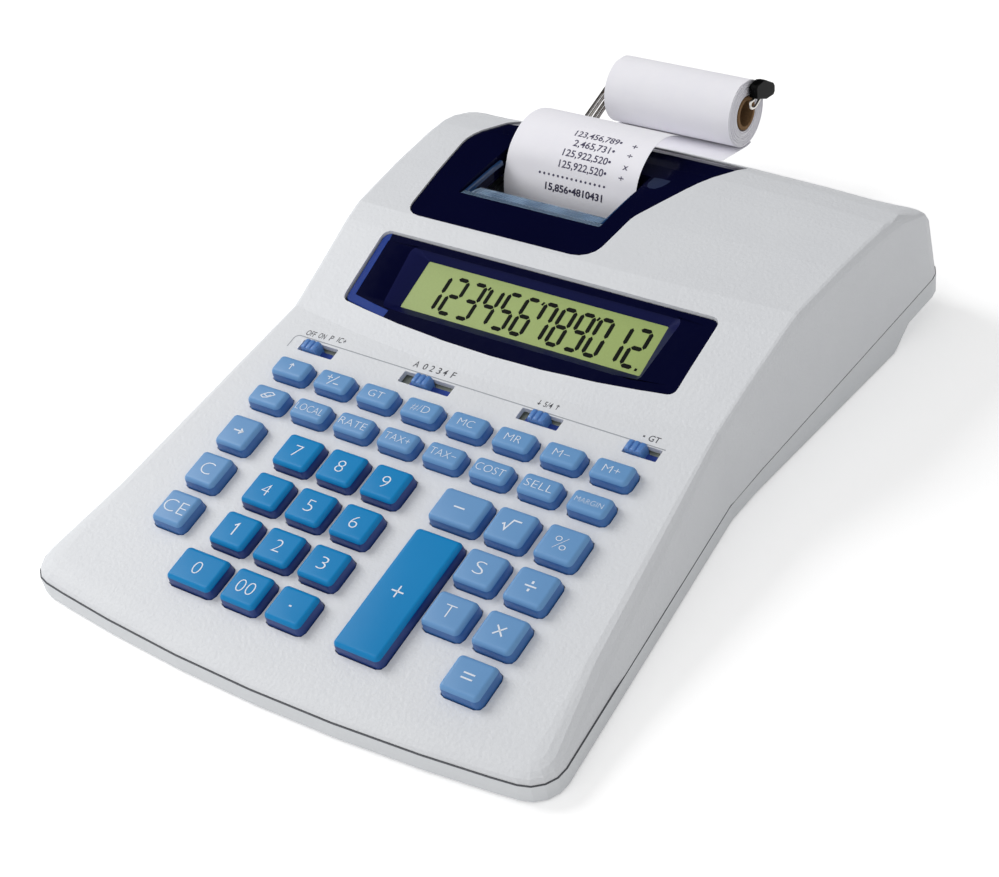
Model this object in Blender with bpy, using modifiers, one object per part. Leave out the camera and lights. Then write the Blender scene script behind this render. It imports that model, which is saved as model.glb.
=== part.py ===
"""Desktop printing calculator, modelled at real size in metres, +Z up, X to the right, Y to the back.

The case is a moulded two-part housing with a waist between the keyboard and the printer.
The keyboard lies on one inclined plane, the display on a steeper one behind it, and the
printer, left of the middle, feeds a 57 mm paper strip up through a smoked cover.
"""
import bpy
import bmesh
from math import cos, pi, radians, sin, tan
from mathutils import Matrix, Vector

for old in list(bpy.data.objects):
    bpy.data.objects.remove(old, do_unlink=True)

mm = 0.001

# Fits shared by many pieces
gap = 0.3 * mm
key_clearance = 0.35 * mm
overrun = 1.0 * mm
merge_distance = 0.02 * mm
corner_angle = radians(32)

# Case plan, measured along the line where the two case halves meet
front_y = -110.5 * mm
front_bow = 8.0 * mm
front_half_width = 107.2 * mm
front_corner_radius = 11.0 * mm
waist_y = 32.0 * mm
waist_half_width = 90.3 * mm
rear_half_width = 101.0 * mm
rear_y = 174.0 * mm
rear_bow = 4.8 * mm
rear_corner_radius = 10.0 * mm
case_wall = 2.0 * mm
lower_wall = 2.0 * mm
band_rear_rise = 9.6 * mm
base_front_inset = 1.5 * mm
base_rear_y = 157.0 * mm
base_toe_y = 146.0 * mm

# Case heights
seam_height = 7.4 * mm
seam_rise = 11.0 * mm
band_height = 6.4 * mm
floor_height = 0.5 * mm
floor_thickness = 2.6 * mm
rim_overlap = 3.0 * mm
foot_radius = 6.0 * mm
foot_inset = 24.0 * mm
break_y = 29.4 * mm
break_bow = 7.0 * mm
display_top_y = 68.0 * mm
display_top_z = 51.0 * mm
deck_front_y = 77.0 * mm
deck_front_z = 53.4 * mm
deck_z = 54.9 * mm
deck_mid_y = 105.0 * mm
deck_back_y = 131.0 * mm
deck_back_z = 54.9 * mm
deck_roll_y = 142.0 * mm
deck_roll_z = 53.5 * mm
rear_edge_y = 149.0 * mm
rear_edge_z = 51.0 * mm

# Shoulders, where the walls roll over into the top
front_shoulder = 5.2 * mm
front_shoulder_inset = 8.5 * mm
side_front_shoulder = 10.0 * mm
side_front_inset = 8.5 * mm
waist_shoulder = 2.6 * mm
waist_inset = 2.0 * mm
rear_side_shoulder = 4.5 * mm
rear_side_inset = 3.2 * mm
rear_shoulder = 18.0 * mm
rear_draft = 4.3 * mm
side_draft = 1.2 * mm
rear_side_draft = 0.5 * mm
rear_roll_shares = ((0, 1), (0.125, 0.667), (0.325, 0.422), (0.63, 0.19), (1, 0))
shoulder_limit_share = 0.8
front_draft = 0.6 * mm

# Lower case
band_tuck = 0.2 * mm
band_edge = 0.4 * mm
base_side_inset = 0.7 * mm
base_side_draft = 0.3 * mm

# Keyboard plane: v runs up the slope from the first key row, w is the height over the key tops
slope = radians(11.5)
key_top_z = 36.2 * mm
panel_drop = 4.6 * mm
key_skirt = 9.4 * mm
key_edge = 1.0 * mm
key_corner = 2.0 * mm
key_taper = 1.2 * mm
key_shoulder_share = 0.42
key_rim_share = 0.28
key_travel = 2.4 * mm
small_key_width = 0.1194 * front_half_width
small_key_depth = 6.6 * mm
main_key_width = 0.12127 * front_half_width
main_key_depth = 11.6 * mm
zero_key_width = 0.16045 * front_half_width
wide_key_width = 0.15485 * front_half_width
small_pitch = 0.17724 * front_half_width
small_column_count = 8
small_offset = small_pitch / 2
small_row_step = 14.1 * mm
main_row_back = 31.4 * mm
main_row_pitch = 17.85 * mm
digit_pitch = 0.17584 * front_half_width
digit_mid_x = -0.19869 * front_half_width
clear_column_x = -0.62034 * front_half_width
plus_column_x = 0.25746 * front_half_width
root_column_x = 0.44216 * front_half_width
percent_column_x = 0.62034 * front_half_width

# Slide switches on the keyboard plane
switch_v = 13.2 * mm
switch_slot_depth = 5.0 * mm
switch_knob_width = 7.0 * mm
switch_knob_height = 2.2 * mm
switch_root = 4.0 * mm
switch_clearance = 0.4 * mm
switch_ridge = 0.5 * mm
switch_ridge_pitch = 1.3 * mm
switch_shares = (
    ("switch_power", -0.68843, -0.54291, -0.63993),
    ("switch_decimal", -0.26586, -0.0653, -0.18004),
    ("switch_rounding", 0.1959, 0.34888, 0.27146),
    ("switch_total", 0.58302, 0.70336, 0.62313),
)

# Display
window_middle_x = -1.8 * mm
window_front_y = 36.8 * mm
window_back_y = 67.0 * mm
window_front_half = 69.3 * mm
window_back_half = 70.4 * mm
window_bow = 5.6 * mm
window_corner = 3.0 * mm
window_recess = 0.4 * mm
window_thickness = 3.4 * mm
window_floor = 0.7 * mm
funnel_half = 54.3 * mm
funnel_front_y = 38.0 * mm
funnel_back_y = 64.3 * mm
funnel_low_half = 50.4 * mm
funnel_low_front_y = 41.9 * mm
funnel_low_back_y = 61.9 * mm
lcd_width = 108.0 * mm
lcd_depth = 28.0 * mm
lcd_thickness = 3.0 * mm
lcd_corner = 0.8 * mm

# Printer cover and its well
cover_sink = 0.5 * mm
cover_left_x = -78.5 * mm
cover_right_x = 32.0 * mm
cover_front_y = 77.0 * mm
cover_back_y = 157.0 * mm
cover_corner_shares = (
    (0.075, 0.0), (0.8045, 0.005), (0.812, 0.34), (0.905, 0.7), (1.0, 0.975), (0.104, 1.0), (0.0, 0.66),
)
cover_radius_shares = (0.0875, 0.1, 0.25, 0.25, 0.04, 0.1, 0.225)
well_left = -59.2 * mm
well_right = 3.2 * mm
well_front = 95.4 * mm
well_back = 131.0 * mm
well_corner = 0.8 * mm
well_depth = 9.0 * mm
well_wall = 1.4 * mm

# Tear bar
tear_top_z = 53.2 * mm
tear_thickness = 1.0 * mm
tear_reach = 3.2 * mm
tear_arm = 1.6 * mm
tear_arm_length = 26.0 * mm
tear_height = 4.0 * mm
tear_tooth = 0.9 * mm
tear_tooth_pitch = 1.4 * mm

# Paper
paper_width = 57.8 * mm
paper_middle_x = -28.0 * mm
paper_thickness = 0.3 * mm
roll_y = 203.5 * mm
roll_z = 41.0 * mm
roll_radius = 13.5 * mm
core_radius = 6.7 * mm
bore_radius = 5.2 * mm
slot_z = 30.8 * mm
slot_height = 3.4 * mm
web_shares = (
    (0.148, -0.97), (0.277, -0.38), (0.405, -0.09), (0.56, -0.15), (0.74, -0.62),
)
strip_shares = (
    (-0.125, 0.526), (-0.067, 0.805), (0.002, 1.058), (0.096, 1.237), (0.233, 1.379), (0.376, 1.405),
    (0.532, 1.316), (0.662, 1.147),
)
strip_reach = 44.7 * mm
strip_rise = 19.0 * mm

# Printer inside the case
platen_radius = 7.0 * mm
platen_y = 125.8 * mm
platen_z = 35.6 * mm
platen_overhang = 1.2 * mm
shaft_radius = 2.0 * mm
gear_radius = 6.0 * mm
gear_thickness = 2.4 * mm
gear_tooth = 0.9 * mm
gear_teeth = 20
frame_plate = 1.6 * mm
frame_gap = 0.8 * mm
frame_front_y = 86.0 * mm
frame_back_y = 134.5 * mm
frame_top_z = 42.0 * mm
frame_floor = 2.0 * mm
print_head_front_y = 98.0 * mm
print_head_back_y = 117.2 * mm
print_head_top_z = 41.0 * mm
print_head_low_z = 22.0 * mm
shaft_stub = 4.4 * mm
shaft_clearance = 0.08 * mm

# Circuit board
board_thickness = 1.6 * mm
board_depth_w = 13.0 * mm
board_half_width = 78.0 * mm
board_front_v = 88.0 * mm
board_back_v = 20.0 * mm
post_radius = 3.0 * mm

# Paper roll holder, bent from doubled spring wire
wire_radius = 0.65 * mm
wire_pair = 2.3 * mm
wire_bend = 2.6 * mm
arm_left_x = -60.6 * mm
arm_root_y = 159.0 * mm
arm_root_z = 31.0 * mm
arm_tip_reach = 7.0 * mm
hang_play = 0.7 * mm
arm_tip_z = roll_z + bore_radius - hang_play - wire_radius - wire_pair / 2
bail_room = 1.6 * mm
bail_root_z = 25.4 * mm
bail_back_y = roll_y + roll_radius + bail_room
bail_back_z = 43.6 * mm
bail_left_x = arm_left_x
arm_rise = 4.0 * mm
socket_margin = 0.35 * mm
clip_width = 3.8 * mm
clip_nose = 2.0 * mm
clip_heel = 2.4 * mm
clip_drop = 2.6 * mm
clip_rise = 8.9 * mm
clip_shares = (
    (0, 0.114), (0.342, 0.114), (0.396, 0.429), (0.613, 0.4), (0.748, 0), (1, 0), (1, 0.557), (0.595, 1),
    (0.18, 0.957), (0, 0.529),
)
peg_radius = 1.5 * mm
peg_reach = 5.0 * mm
peg_y = roll_y
peg_z = roll_z + bore_radius - hang_play - peg_radius
clip_back_y = bail_back_y + clip_heel
paper_right = paper_middle_x + paper_width / 2
hinge_x = paper_right + gap + clip_width / 2

# Battery door in the base
door_half_width = 42.0 * mm
door_length = 46.0 * mm
door_thickness = 1.6 * mm
door_back_inset = 4.0 * mm
door_slide = 8.0 * mm
door_bevel = 0.5 * mm

# Colours of the materials, linear
case_colour = (0.62, 0.64, 0.66)
base_colour = (0.34, 0.36, 0.39)
smoke_colour = (0.012, 0.016, 0.06)
lcd_colour = (0.36, 0.48, 0.20)
digit_colour = (0.005, 0.12, 0.42)
function_colour = (0.22, 0.38, 0.60)
clear_colour = (0.35, 0.60, 0.80)
paper_colour = (0.84, 0.84, 0.88)
card_colour = (0.30, 0.20, 0.11)
wire_colour = (0.55, 0.55, 0.56)
black_colour = (0.012, 0.012, 0.014)
steel_colour = (0.42, 0.42, 0.44)
board_colour = (0.03, 0.16, 0.07)

# The origin lies on the table under the middle of the whole machine, paper roll holder included
datum_y = -(front_y + clip_back_y) / 2

parts = bpy.data.collections.new("printing_calculator")
cutters = bpy.data.collections.new("cutters")
bpy.context.scene.collection.children.link(parts)
bpy.context.scene.collection.children.link(cutters)

datum = bpy.data.objects.new("datum", None)
datum.location = (0, datum_y, 0)
parts.objects.link(datum)


def material(name, colour, roughness, metallic=0.0):
    made = bpy.data.materials.new(name)
    made.use_nodes = True
    surface = made.node_tree.nodes["Principled BSDF"]
    surface.inputs["Base Color"].default_value = (*colour, 1.0)
    surface.inputs["Roughness"].default_value = roughness
    surface.inputs["Metallic"].default_value = metallic
    return made


def add_object(name, mesh, finish=None, parent=datum):
    made = bpy.data.objects.new(name, mesh)
    if finish is None:
        cutters.objects.link(made)
        made.hide_render = True
        made.display_type = "WIRE"
    else:
        parts.objects.link(made)
        mesh.materials.append(finish)
    made.parent = parent
    return made


def finish_mesh(name, bm, smooth=True):
    """Weld, turn the faces outward and make a mesh."""
    bmesh.ops.remove_doubles(bm, verts=bm.verts, dist=merge_distance)
    bmesh.ops.recalc_face_normals(bm, faces=bm.faces)
    mesh = bpy.data.meshes.new(name)
    bm.to_mesh(mesh)
    bm.free()
    if smooth:
        mesh.shade_smooth()
        mesh.set_sharp_from_angle(angle=corner_angle)
    return mesh


def loft(loops, closed_ends=True):
    """Skin a list of matching closed loops of points and cap both ends."""
    bm = bmesh.new()
    rings = [[bm.verts.new(point) for point in loop] for loop in loops]
    count = len(rings[0])
    for low, high in zip(rings, rings[1:]):
        for i in range(count):
            j = (i + 1) % count
            bm.faces.new((low[i], low[j], high[j], high[i]))
    if closed_ends:
        bm.faces.new(list(reversed(rings[0])))
        bm.faces.new(rings[-1])
    return bm


def rounded_rectangle(width, depth, radius, steps=2, middle=(0, 0)):
    """Points round a rectangle with round corners, counter-clockwise."""
    points = []
    for turn, (sx, sy) in enumerate(((1, 1), (-1, 1), (-1, -1), (1, -1))):
        cx = middle[0] + sx * (width / 2 - radius)
        cy = middle[1] + sy * (depth / 2 - radius)
        for step in range(steps + 1):
            angle = (turn + step / steps) * pi / 2
            points.append((cx + radius * cos(angle), cy + radius * sin(angle)))
    return points


def prism(outline, low, high):
    """An upright prism over a plan outline."""
    return loft([[(x, y, low) for x, y in outline], [(x, y, high) for x, y in outline]])


def box_mesh(bm, low, high):
    """Add a box between two corners to a mesh."""
    centre = [(a + b) / 2 for a, b in zip(low, high)]
    size = [b - a for a, b in zip(low, high)]
    place = Matrix.Translation(centre) @ Matrix.Diagonal((*size, 1.0))
    bmesh.ops.create_cube(bm, size=1.0, matrix=place)


def box_object(name, low, high, finish=None):
    bm = bmesh.new()
    box_mesh(bm, low, high)
    return add_object(name, finish_mesh(name, bm, smooth=False), finish)


def boolean(target, tool, operation="DIFFERENCE"):
    modifier = target.modifiers.new(operation.lower(), "BOOLEAN")
    modifier.operation = operation
    modifier.solver = "EXACT"
    modifier.object = tool


def bake(target, smooth=True, flat_faces=False):
    """Apply the modifiers, so that the shape can be used again; flat_faces splits the faces into triangles."""
    bpy.context.view_layer.update()
    evaluated = target.evaluated_get(bpy.context.evaluated_depsgraph_get())
    mesh = bpy.data.meshes.new_from_object(evaluated)
    target.modifiers.clear()
    bm = bmesh.new()
    bm.from_mesh(mesh)
    bmesh.ops.remove_doubles(bm, verts=bm.verts, dist=merge_distance)
    bmesh.ops.dissolve_degenerate(bm, dist=merge_distance, edges=bm.edges)
    if flat_faces:
        bmesh.ops.triangulate(bm, faces=bm.faces)
    bm.to_mesh(mesh)
    bm.free()
    old = target.data
    target.data = mesh
    bpy.data.meshes.remove(old)
    if smooth:
        mesh.shade_smooth()
        mesh.set_sharp_from_angle(angle=corner_angle)


def mix(a, b, share):
    return a + (b - a) * share


def table(stations, position):
    """Read a piecewise straight table of (position, value)."""
    if position <= stations[0][0]:
        return stations[0][1]
    for (p0, v0), (p1, v1) in zip(stations, stations[1:]):
        if position <= p1:
            return mix(v0, v1, (position - p0) / (p1 - p0))
    return stations[-1][1]


def on_slope(u, v, w):
    """Keyboard-plane coordinates to the machine's own."""
    return Vector((u, cos(slope) * v - sin(slope) * w, sin(slope) * v + cos(slope) * w + key_top_z))


slope_frame = Matrix.Translation((0, 0, key_top_z)) @ Matrix.Rotation(slope, 4, "X")
panel_rise = key_top_z - panel_drop / cos(slope)


def panel_z(y):
    """Height of the keyboard panel over the table."""
    return panel_rise + y * tan(slope)


def half_width(y):
    """Half the width of the case at the seam."""
    if y < waist_y:
        return mix(waist_half_width, front_half_width, (waist_y - y) / (waist_y - front_y - front_bow))
    return mix(waist_half_width, rear_half_width, (y - waist_y) / (rear_y - rear_bow - waist_y))


def seam_z(y):
    """Height of the line where the case halves meet."""
    return seam_height + seam_rise * max(0, y - waist_y) / (rear_y - waist_y)


def fillet(before, corner, after, radius, steps):
    """Points on an arc that rounds a corner of a plan outline."""
    a = (Vector(before) - Vector(corner)).normalized()
    b = (Vector(after) - Vector(corner)).normalized()
    half = a.angle(b) / 2
    reach = radius / tan(half)
    centre = Vector(corner) + (a + b).normalized() * (radius / sin(half))
    start = Vector(corner) + a * reach - centre
    end = Vector(corner) + b * reach - centre
    turn = start.angle(end)
    points = []
    for step in range(steps + 1):
        share = step / steps
        arm = (start * sin((1 - share) * turn) + end * sin(share * turn)) / sin(turn)
        points.append(centre + arm)
    return points


# Half of the seam outline, from the middle of the front round to the middle of the back
bow_shares = (0.0, 0.3, 0.6, 0.82)
corner_steps = 4
side_stations = (
    mix(front_y, waist_y, 0.36),
    mix(front_y, waist_y, 0.68),
    waist_y - 2 * foot_radius,
    break_y,
    mix(break_y, display_top_y, 0.5),
    display_top_y,
    deck_front_y,
    mix(deck_front_y, deck_mid_y, 0.5),
    deck_mid_y,
    mix(deck_mid_y, deck_back_y, 0.5),
    deck_back_y,
    mix(deck_back_y, rear_y - rear_bow - rear_corner_radius, 0.5),
)
front_corner = Vector((half_width(front_y + front_bow), front_y + front_bow))
rear_corner = Vector((rear_half_width, rear_y - rear_bow))


def bow_point(share, y, bow, half):
    return Vector((half * share, y + bow * share * share))


front_points = [bow_point(s, front_y, front_bow, front_corner.x) for s in bow_shares]
front_arc = fillet(front_points[-1], front_corner, (half_width(side_stations[0]), side_stations[0]),
                   front_corner_radius, corner_steps)
side_points = [Vector((half_width(y), y)) for y in side_stations]
rear_points = [bow_point(s, rear_y, -rear_bow, rear_corner.x) for s in reversed(bow_shares)]
rear_arc = fillet(side_points[-1], rear_corner, rear_points[0], rear_corner_radius, corner_steps)
seam_outline = front_points + front_arc + side_points + rear_arc + rear_points

columns = len(bow_shares) + corner_steps // 2 + 1
rows = len(seam_outline) - 2 * columns + 2
break_row = corner_steps // 2 + side_stations.index(break_y) + 1


def inward_normals(outline):
    normals = []
    for i, point in enumerate(outline):
        before = outline[max(i - 1, 0)]
        after = outline[min(i + 1, len(outline) - 1)]
        along = (after - before).normalized()
        normals.append(Vector((-along.y, along.x)))
    normals[0] = Vector((0, 1))
    normals[-1] = Vector((0, -1))
    return normals


seam_normals = inward_normals(seam_outline)

profile = [
    (display_top_y, display_top_z), (deck_front_y, deck_front_z), (deck_mid_y, deck_z),
    (deck_back_y, deck_back_z), (deck_roll_y, deck_roll_z), (rear_edge_y, rear_edge_z),
]
rear_inset = rear_y - rear_bow - rear_draft - rear_edge_y
shoulder_steps = 4
side_roll_shares = [(1 - cos(step / shoulder_steps * pi / 2), 1 - sin(step / shoulder_steps * pi / 2))
                    for step in range(shoulder_steps + 1)]


def station_z(index, y):
    """Height of the top surface over a point of the outline."""
    if seam_outline[index].y <= break_y:
        return panel_z(y)
    if y < display_top_y:
        return mix(panel_z(break_y), display_top_z, (y - break_y) / (display_top_y - break_y))
    return table(profile, y)


def shoulder(index):
    """Lean, rounding height and rounding inset of a wall, and how far round to the rear it stands."""
    y = seam_outline[index].y
    past_front = index - len(bow_shares) + 1
    past_side = index - (len(seam_outline) - len(bow_shares) - corner_steps - 1) + 1
    if past_front <= 0:
        return front_draft, front_shoulder, front_shoulder_inset, 0
    if past_front < corner_steps + 2:
        share = past_front / (corner_steps + 2)
        return (front_draft, mix(front_shoulder, side_front_shoulder / 2, share),
                mix(front_shoulder_inset, side_front_inset, share), 0)
    if y <= waist_y:
        share = (waist_y - y) / (waist_y - front_y)
        high = mix(waist_shoulder, side_front_shoulder, share)
        return side_draft, high, mix(waist_inset, side_front_inset, share), 0
    share = min(1, (y - waist_y) / (rear_y - rear_bow - waist_y))
    turn = min(1, max(0, past_side / (corner_steps + 2)))
    lean = mix(side_draft, rear_side_draft, min(1, (y - waist_y) / (display_top_y - waist_y)))
    return lean, mix(waist_shoulder, rear_side_shoulder, share), mix(waist_inset, rear_side_inset, share), turn


def drawn(point, normal, side_in, rear_in):
    """A point of the seam outline drawn in by the lean and rounding of the walls."""
    if point.y <= waist_y:
        place = point + normal * side_in
        return Vector((0, place.y)) if point.x == 0 else place
    share = min(1, max(0, (point.y - deck_front_y) / (rear_y - rear_bow - deck_front_y)))
    y = point.y - rear_in * share * share
    return Vector((point.x * (half_width(y) - side_in) / half_width(point.y), y))


def case_levels():
    """Loops of the upper case's skin, from the seam up to the edge of the top."""
    levels = [[] for _ in range(shoulder_steps + 2)]
    for i, (point, normal) in enumerate(zip(seam_outline, seam_normals)):
        lean, height, inset, turn = shoulder(i)
        outer = drawn(point, normal, lean, rear_draft)
        height = min(height, shoulder_limit_share * (station_z(i, outer.y) - seam_z(point.y)))
        levels[0].append((point.x, point.y, seam_z(point.y) - rim_overlap))
        for step, (side_share, rear_share) in enumerate(zip(side_roll_shares, rear_roll_shares)):
            place = drawn(point, normal, lean + inset * side_share[0], rear_draft + rear_inset * rear_share[0])
            drop = mix(height * side_share[1], rear_shoulder * rear_share[1], turn)
            levels[step + 1].append((place.x, place.y, station_z(i, place.y) - drop))
    return levels


def top_point(inner, row, column):
    """A point of the top: a Coons patch with the crossbows of the break and the display."""
    last_row, last_column = rows - 1, columns - 1
    front = [Vector(p) for p in inner[:columns]]
    side = [Vector(p) for p in inner[columns - 1:columns - 1 + rows]]
    rear = [Vector(p) for p in reversed(inner[columns - 1 + rows - 1:])]
    if row == 0:
        return front[column]
    if row == last_row:
        return rear[column]
    if column == last_column:
        return side[row]
    share_x = front[column].x / front[-1].x
    edge = side[row]
    front_shift = front[0].y - front[-1].y
    rear_shift = rear[0].y - rear[-1].y
    shift = table([(side[0].y, front_shift), (break_y, -break_bow), (side[-1].y, rear_shift)], edge.y)
    x = edge.x * share_x
    y = edge.y + shift * (1 - share_x * share_x)
    z = panel_z(y) if row <= break_row else edge.z
    return Vector((x, y, z))


def case_skin(name, levels):
    """The open outer skin of the upper case, right half, faces outward."""
    bm = bmesh.new()
    loops = [[bm.verts.new(p) for p in level] for level in levels]
    for low, high in zip(loops, loops[1:]):
        for i in range(len(low) - 1):
            bm.faces.new((low[i], low[i + 1], high[i + 1], high[i]))
    inner = levels[-1]
    grid = [[bm.verts.new(top_point(inner, r, c)) for c in range(columns)] for r in range(rows)]
    for r in range(rows - 1):
        for c in range(columns - 1):
            bm.faces.new((grid[r][c], grid[r][c + 1], grid[r + 1][c + 1], grid[r + 1][c]))
    bmesh.ops.remove_doubles(bm, verts=bm.verts, dist=merge_distance)
    mesh = bpy.data.meshes.new(name)
    bm.to_mesh(mesh)
    bm.free()
    return mesh


def mirror_and_wall(target, wall, offset=-1.0):
    mirror = target.modifiers.new("mirror", "MIRROR")
    mirror.use_clip = True
    mirror.merge_threshold = 0.0001 * 0.2
    solid = target.modifiers.new("wall", "SOLIDIFY")
    solid.thickness = wall
    solid.offset = offset
    solid.use_even_offset = False
    solid.use_rim = True


# Finishes
case_white = material("case_white", case_colour, 0.55)
case_grey = material("case_grey", base_colour, 0.6)
smoked = material("smoked_plastic", smoke_colour, 0.12)
lcd_green = material("lcd_green", lcd_colour, 0.35)
digit_blue = material("digit_blue", digit_colour, 0.35)
function_blue = material("function_blue", function_colour, 0.4)
clear_blue = material("clear_blue", clear_colour, 0.15)
paper_white = material("paper_white", paper_colour, 0.9)
card_brown = material("card_brown", card_colour, 0.9)
wire_bright = material("spring_wire", wire_colour, 0.3, 1.0)
black_plastic = material("black_plastic", black_colour, 0.5)
frame_steel = material("frame_steel", steel_colour, 0.4, 1.0)
board_green = material("board_green", board_colour, 0.5)

# Upper case: the moulded top shell
upper_case = add_object("upper_case", case_skin("upper_case", case_levels()), case_white)
mirror_and_wall(upper_case, case_wall)
wedge_front, wedge_back = front_y - 10 * case_wall, rear_y + 10 * case_wall
wedge_rise = seam_rise * (wedge_back - waist_y) / (rear_y - waist_y)
wedge_profile = (
    (wedge_front, -rim_overlap), (wedge_back, -rim_overlap), (wedge_back, seam_height + wedge_rise + gap / 2),
    (waist_y, seam_height + gap / 2), (wedge_front, seam_height + gap / 2),
)
wedge_reach = front_half_width + 10 * case_wall
wedge = add_object("wedge", finish_mesh("wedge", loft(
    [[(x, y, z) for y, z in wedge_profile] for x in (-wedge_reach, wedge_reach)]), smooth=False))
boolean(upper_case, wedge)
bake(upper_case)
uncut_shell = upper_case.data.copy()


def full_outline(half):
    """Both halves of a plan outline given from the front middle to the back middle."""
    left = [(-x, y) for x, y in reversed(half) if x > merge_distance]
    return [(x, y) for x, y in half] + left


# Lower case: a band that carries the seam, and a narrower base under the rear half
def band_z(y):
    return floor_height + band_rear_rise * max(0, y - waist_y) / (rear_y - waist_y)


def squeezed(point, inset, front_inset, back_y):
    """A point of the seam outline drawn in: narrower, and shorter at both ends."""
    if point.y > waist_y:
        y = waist_y + (point.y - waist_y) * (back_y - waist_y) / (rear_y - waist_y)
    else:
        y = waist_y + (point.y - waist_y) * (waist_y - front_y - front_inset) / (waist_y - front_y)
    return Vector((point.x * (half_width(y) - inset) / half_width(point.y), y))


def lower_levels():
    levels = [[] for _ in range(9)]
    floor = floor_height
    for point, normal in zip(seam_outline, seam_normals):
        def drawn_in(amount):
            place = point + normal * amount
            return Vector((0, place.y)) if point.x == 0 else place
        edge, under = drawn_in(band_tuck), drawn_in(band_tuck + band_edge)
        base = squeezed(point, base_side_inset, base_front_inset, base_rear_y)
        toe = squeezed(point, base_side_inset + base_side_draft, base_front_inset + base_side_draft, base_toe_y)
        rim = drawn_in(lower_wall)
        ledge = drawn_in(band_tuck + lower_wall)
        inner = squeezed(point, base_side_inset + lower_wall, base_front_inset + lower_wall,
                         base_rear_y - lower_wall)
        well = squeezed(point, base_side_inset + lower_wall + base_side_draft,
                        base_front_inset + lower_wall + base_side_draft, base_toe_y - lower_wall)
        levels[0].append((well.x, well.y, floor + floor_thickness))
        levels[1].append((inner.x, inner.y, band_z(inner.y) + floor_thickness))
        levels[2].append((ledge.x, ledge.y, band_z(ledge.y) + floor_thickness))
        levels[3].append((rim.x, rim.y, seam_z(point.y) - gap / 2))
        levels[4].append((point.x, point.y, seam_z(point.y) - gap / 2))
        levels[5].append((edge.x, edge.y, band_z(edge.y) + band_edge))
        levels[6].append((under.x, under.y, band_z(under.y)))
        levels[7].append((base.x, base.y, band_z(base.y)))
        levels[8].append((toe.x, toe.y, floor))
    return levels


def full_loop(level):
    left = [(-x, y, z) for x, y, z in reversed(level) if x > merge_distance]
    return list(level) + left


lower_mesh = finish_mesh("lower_case", loft([full_loop(level) for level in lower_levels()]))
lower_case = add_object("lower_case", lower_mesh, case_grey)


# Cutters and fittings on the keyboard plane
def on_plane(bm):
    bm.transform(slope_frame)
    return bm


def key_loops(width, depth, levels):
    return [[(x, y, z) for x, y in rounded_rectangle(width + 2 * grow, depth + 2 * grow, key_corner / 2 + grow)]
            for z, grow in levels]


key_levels = [
    (-key_skirt, key_taper), (-panel_drop + key_clearance, key_taper), (-key_edge, key_taper * key_shoulder_share),
    (-key_edge * key_rim_share, key_edge * key_rim_share), (0, 0),
]

row_c = -main_row_back
row_d = row_c - main_row_pitch
row_e = row_d - main_row_pitch
row_f = row_e - main_row_pitch
tall_key_depth = main_row_pitch * 2 + main_key_depth
small_columns = [(i - small_column_count / 2) * small_pitch + small_offset for i in range(small_column_count)]
digit_columns = [digit_mid_x - digit_pitch, digit_mid_x, digit_mid_x + digit_pitch]

keys = []
for names, v in (
    (("up", "sign", "grand_total", "number_date", "mc", "mr", "m_minus", "m_plus"), 0),
    (("feed", "local", "rate", "tax_plus", "tax_minus", "cost", "sell", "margin"), -small_row_step),
):
    for name, u in zip(names, small_columns):
        keys.append((name, u, v, small_key_width, small_key_depth, function_blue))
for name, v in (("shift", row_c), ("clear", row_d), ("clear_entry", row_e)):
    keys.append((name, clear_column_x, v, main_key_depth, main_key_depth, function_blue))
for names, v in ((("7", "8", "9"), row_c), (("4", "5", "6"), row_d), (("1", "2", "3"), row_e)):
    for name, u in zip(names, digit_columns):
        keys.append((name, u, v, main_key_width, main_key_depth, digit_blue))
zero_key_x = digit_columns[0] - (zero_key_width - main_key_width) / 2
keys.append(("0", zero_key_x, row_f, zero_key_width, main_key_depth, digit_blue))
keys.append(("00", digit_columns[1], row_f, main_key_width, main_key_depth, digit_blue))
keys.append(("point", digit_columns[2], row_f, main_key_width, main_key_depth, digit_blue))
keys.append(("minus", plus_column_x, row_c, wide_key_width, main_key_depth, function_blue))
keys.append(("plus", plus_column_x, (row_d + row_f) / 2, wide_key_width, tall_key_depth, digit_blue))
for names, u in ((("root", "subtotal", "total"), root_column_x), (("percent", "divide", "times"), percent_column_x)):
    for name, v in zip(names, (row_c, row_d, row_e)):
        keys.append((name, u, v, main_key_width, main_key_depth, function_blue))
keys.append(("equals", percent_column_x, row_f, main_key_width, main_key_depth, function_blue))

key_hole_bm = bmesh.new()


def join_into(target, source):
    mesh = bpy.data.meshes.new("piece")
    source.to_mesh(mesh)
    source.free()
    target.from_mesh(mesh)
    bpy.data.meshes.remove(mesh)


for name, u, v, width, depth, finish in keys:
    empty = bpy.data.objects.new("axis_" + name, None)
    parts.objects.link(empty)
    empty.parent = datum
    empty.location = on_slope(u, v, 0)
    empty.rotation_euler = (slope, 0, 0)
    mesh = finish_mesh("key_" + name, loft(key_loops(width, depth, key_levels)))
    add_object("key_" + name, mesh, finish, parent=empty)
    hole = loft([[(x + u, y + v, z) for x, y, z in loop] for loop in key_loops(
        width, depth, [(-key_skirt, key_taper + key_clearance), (overrun, key_taper + key_clearance)])])
    join_into(key_hole_bm, on_plane(hole))

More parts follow.
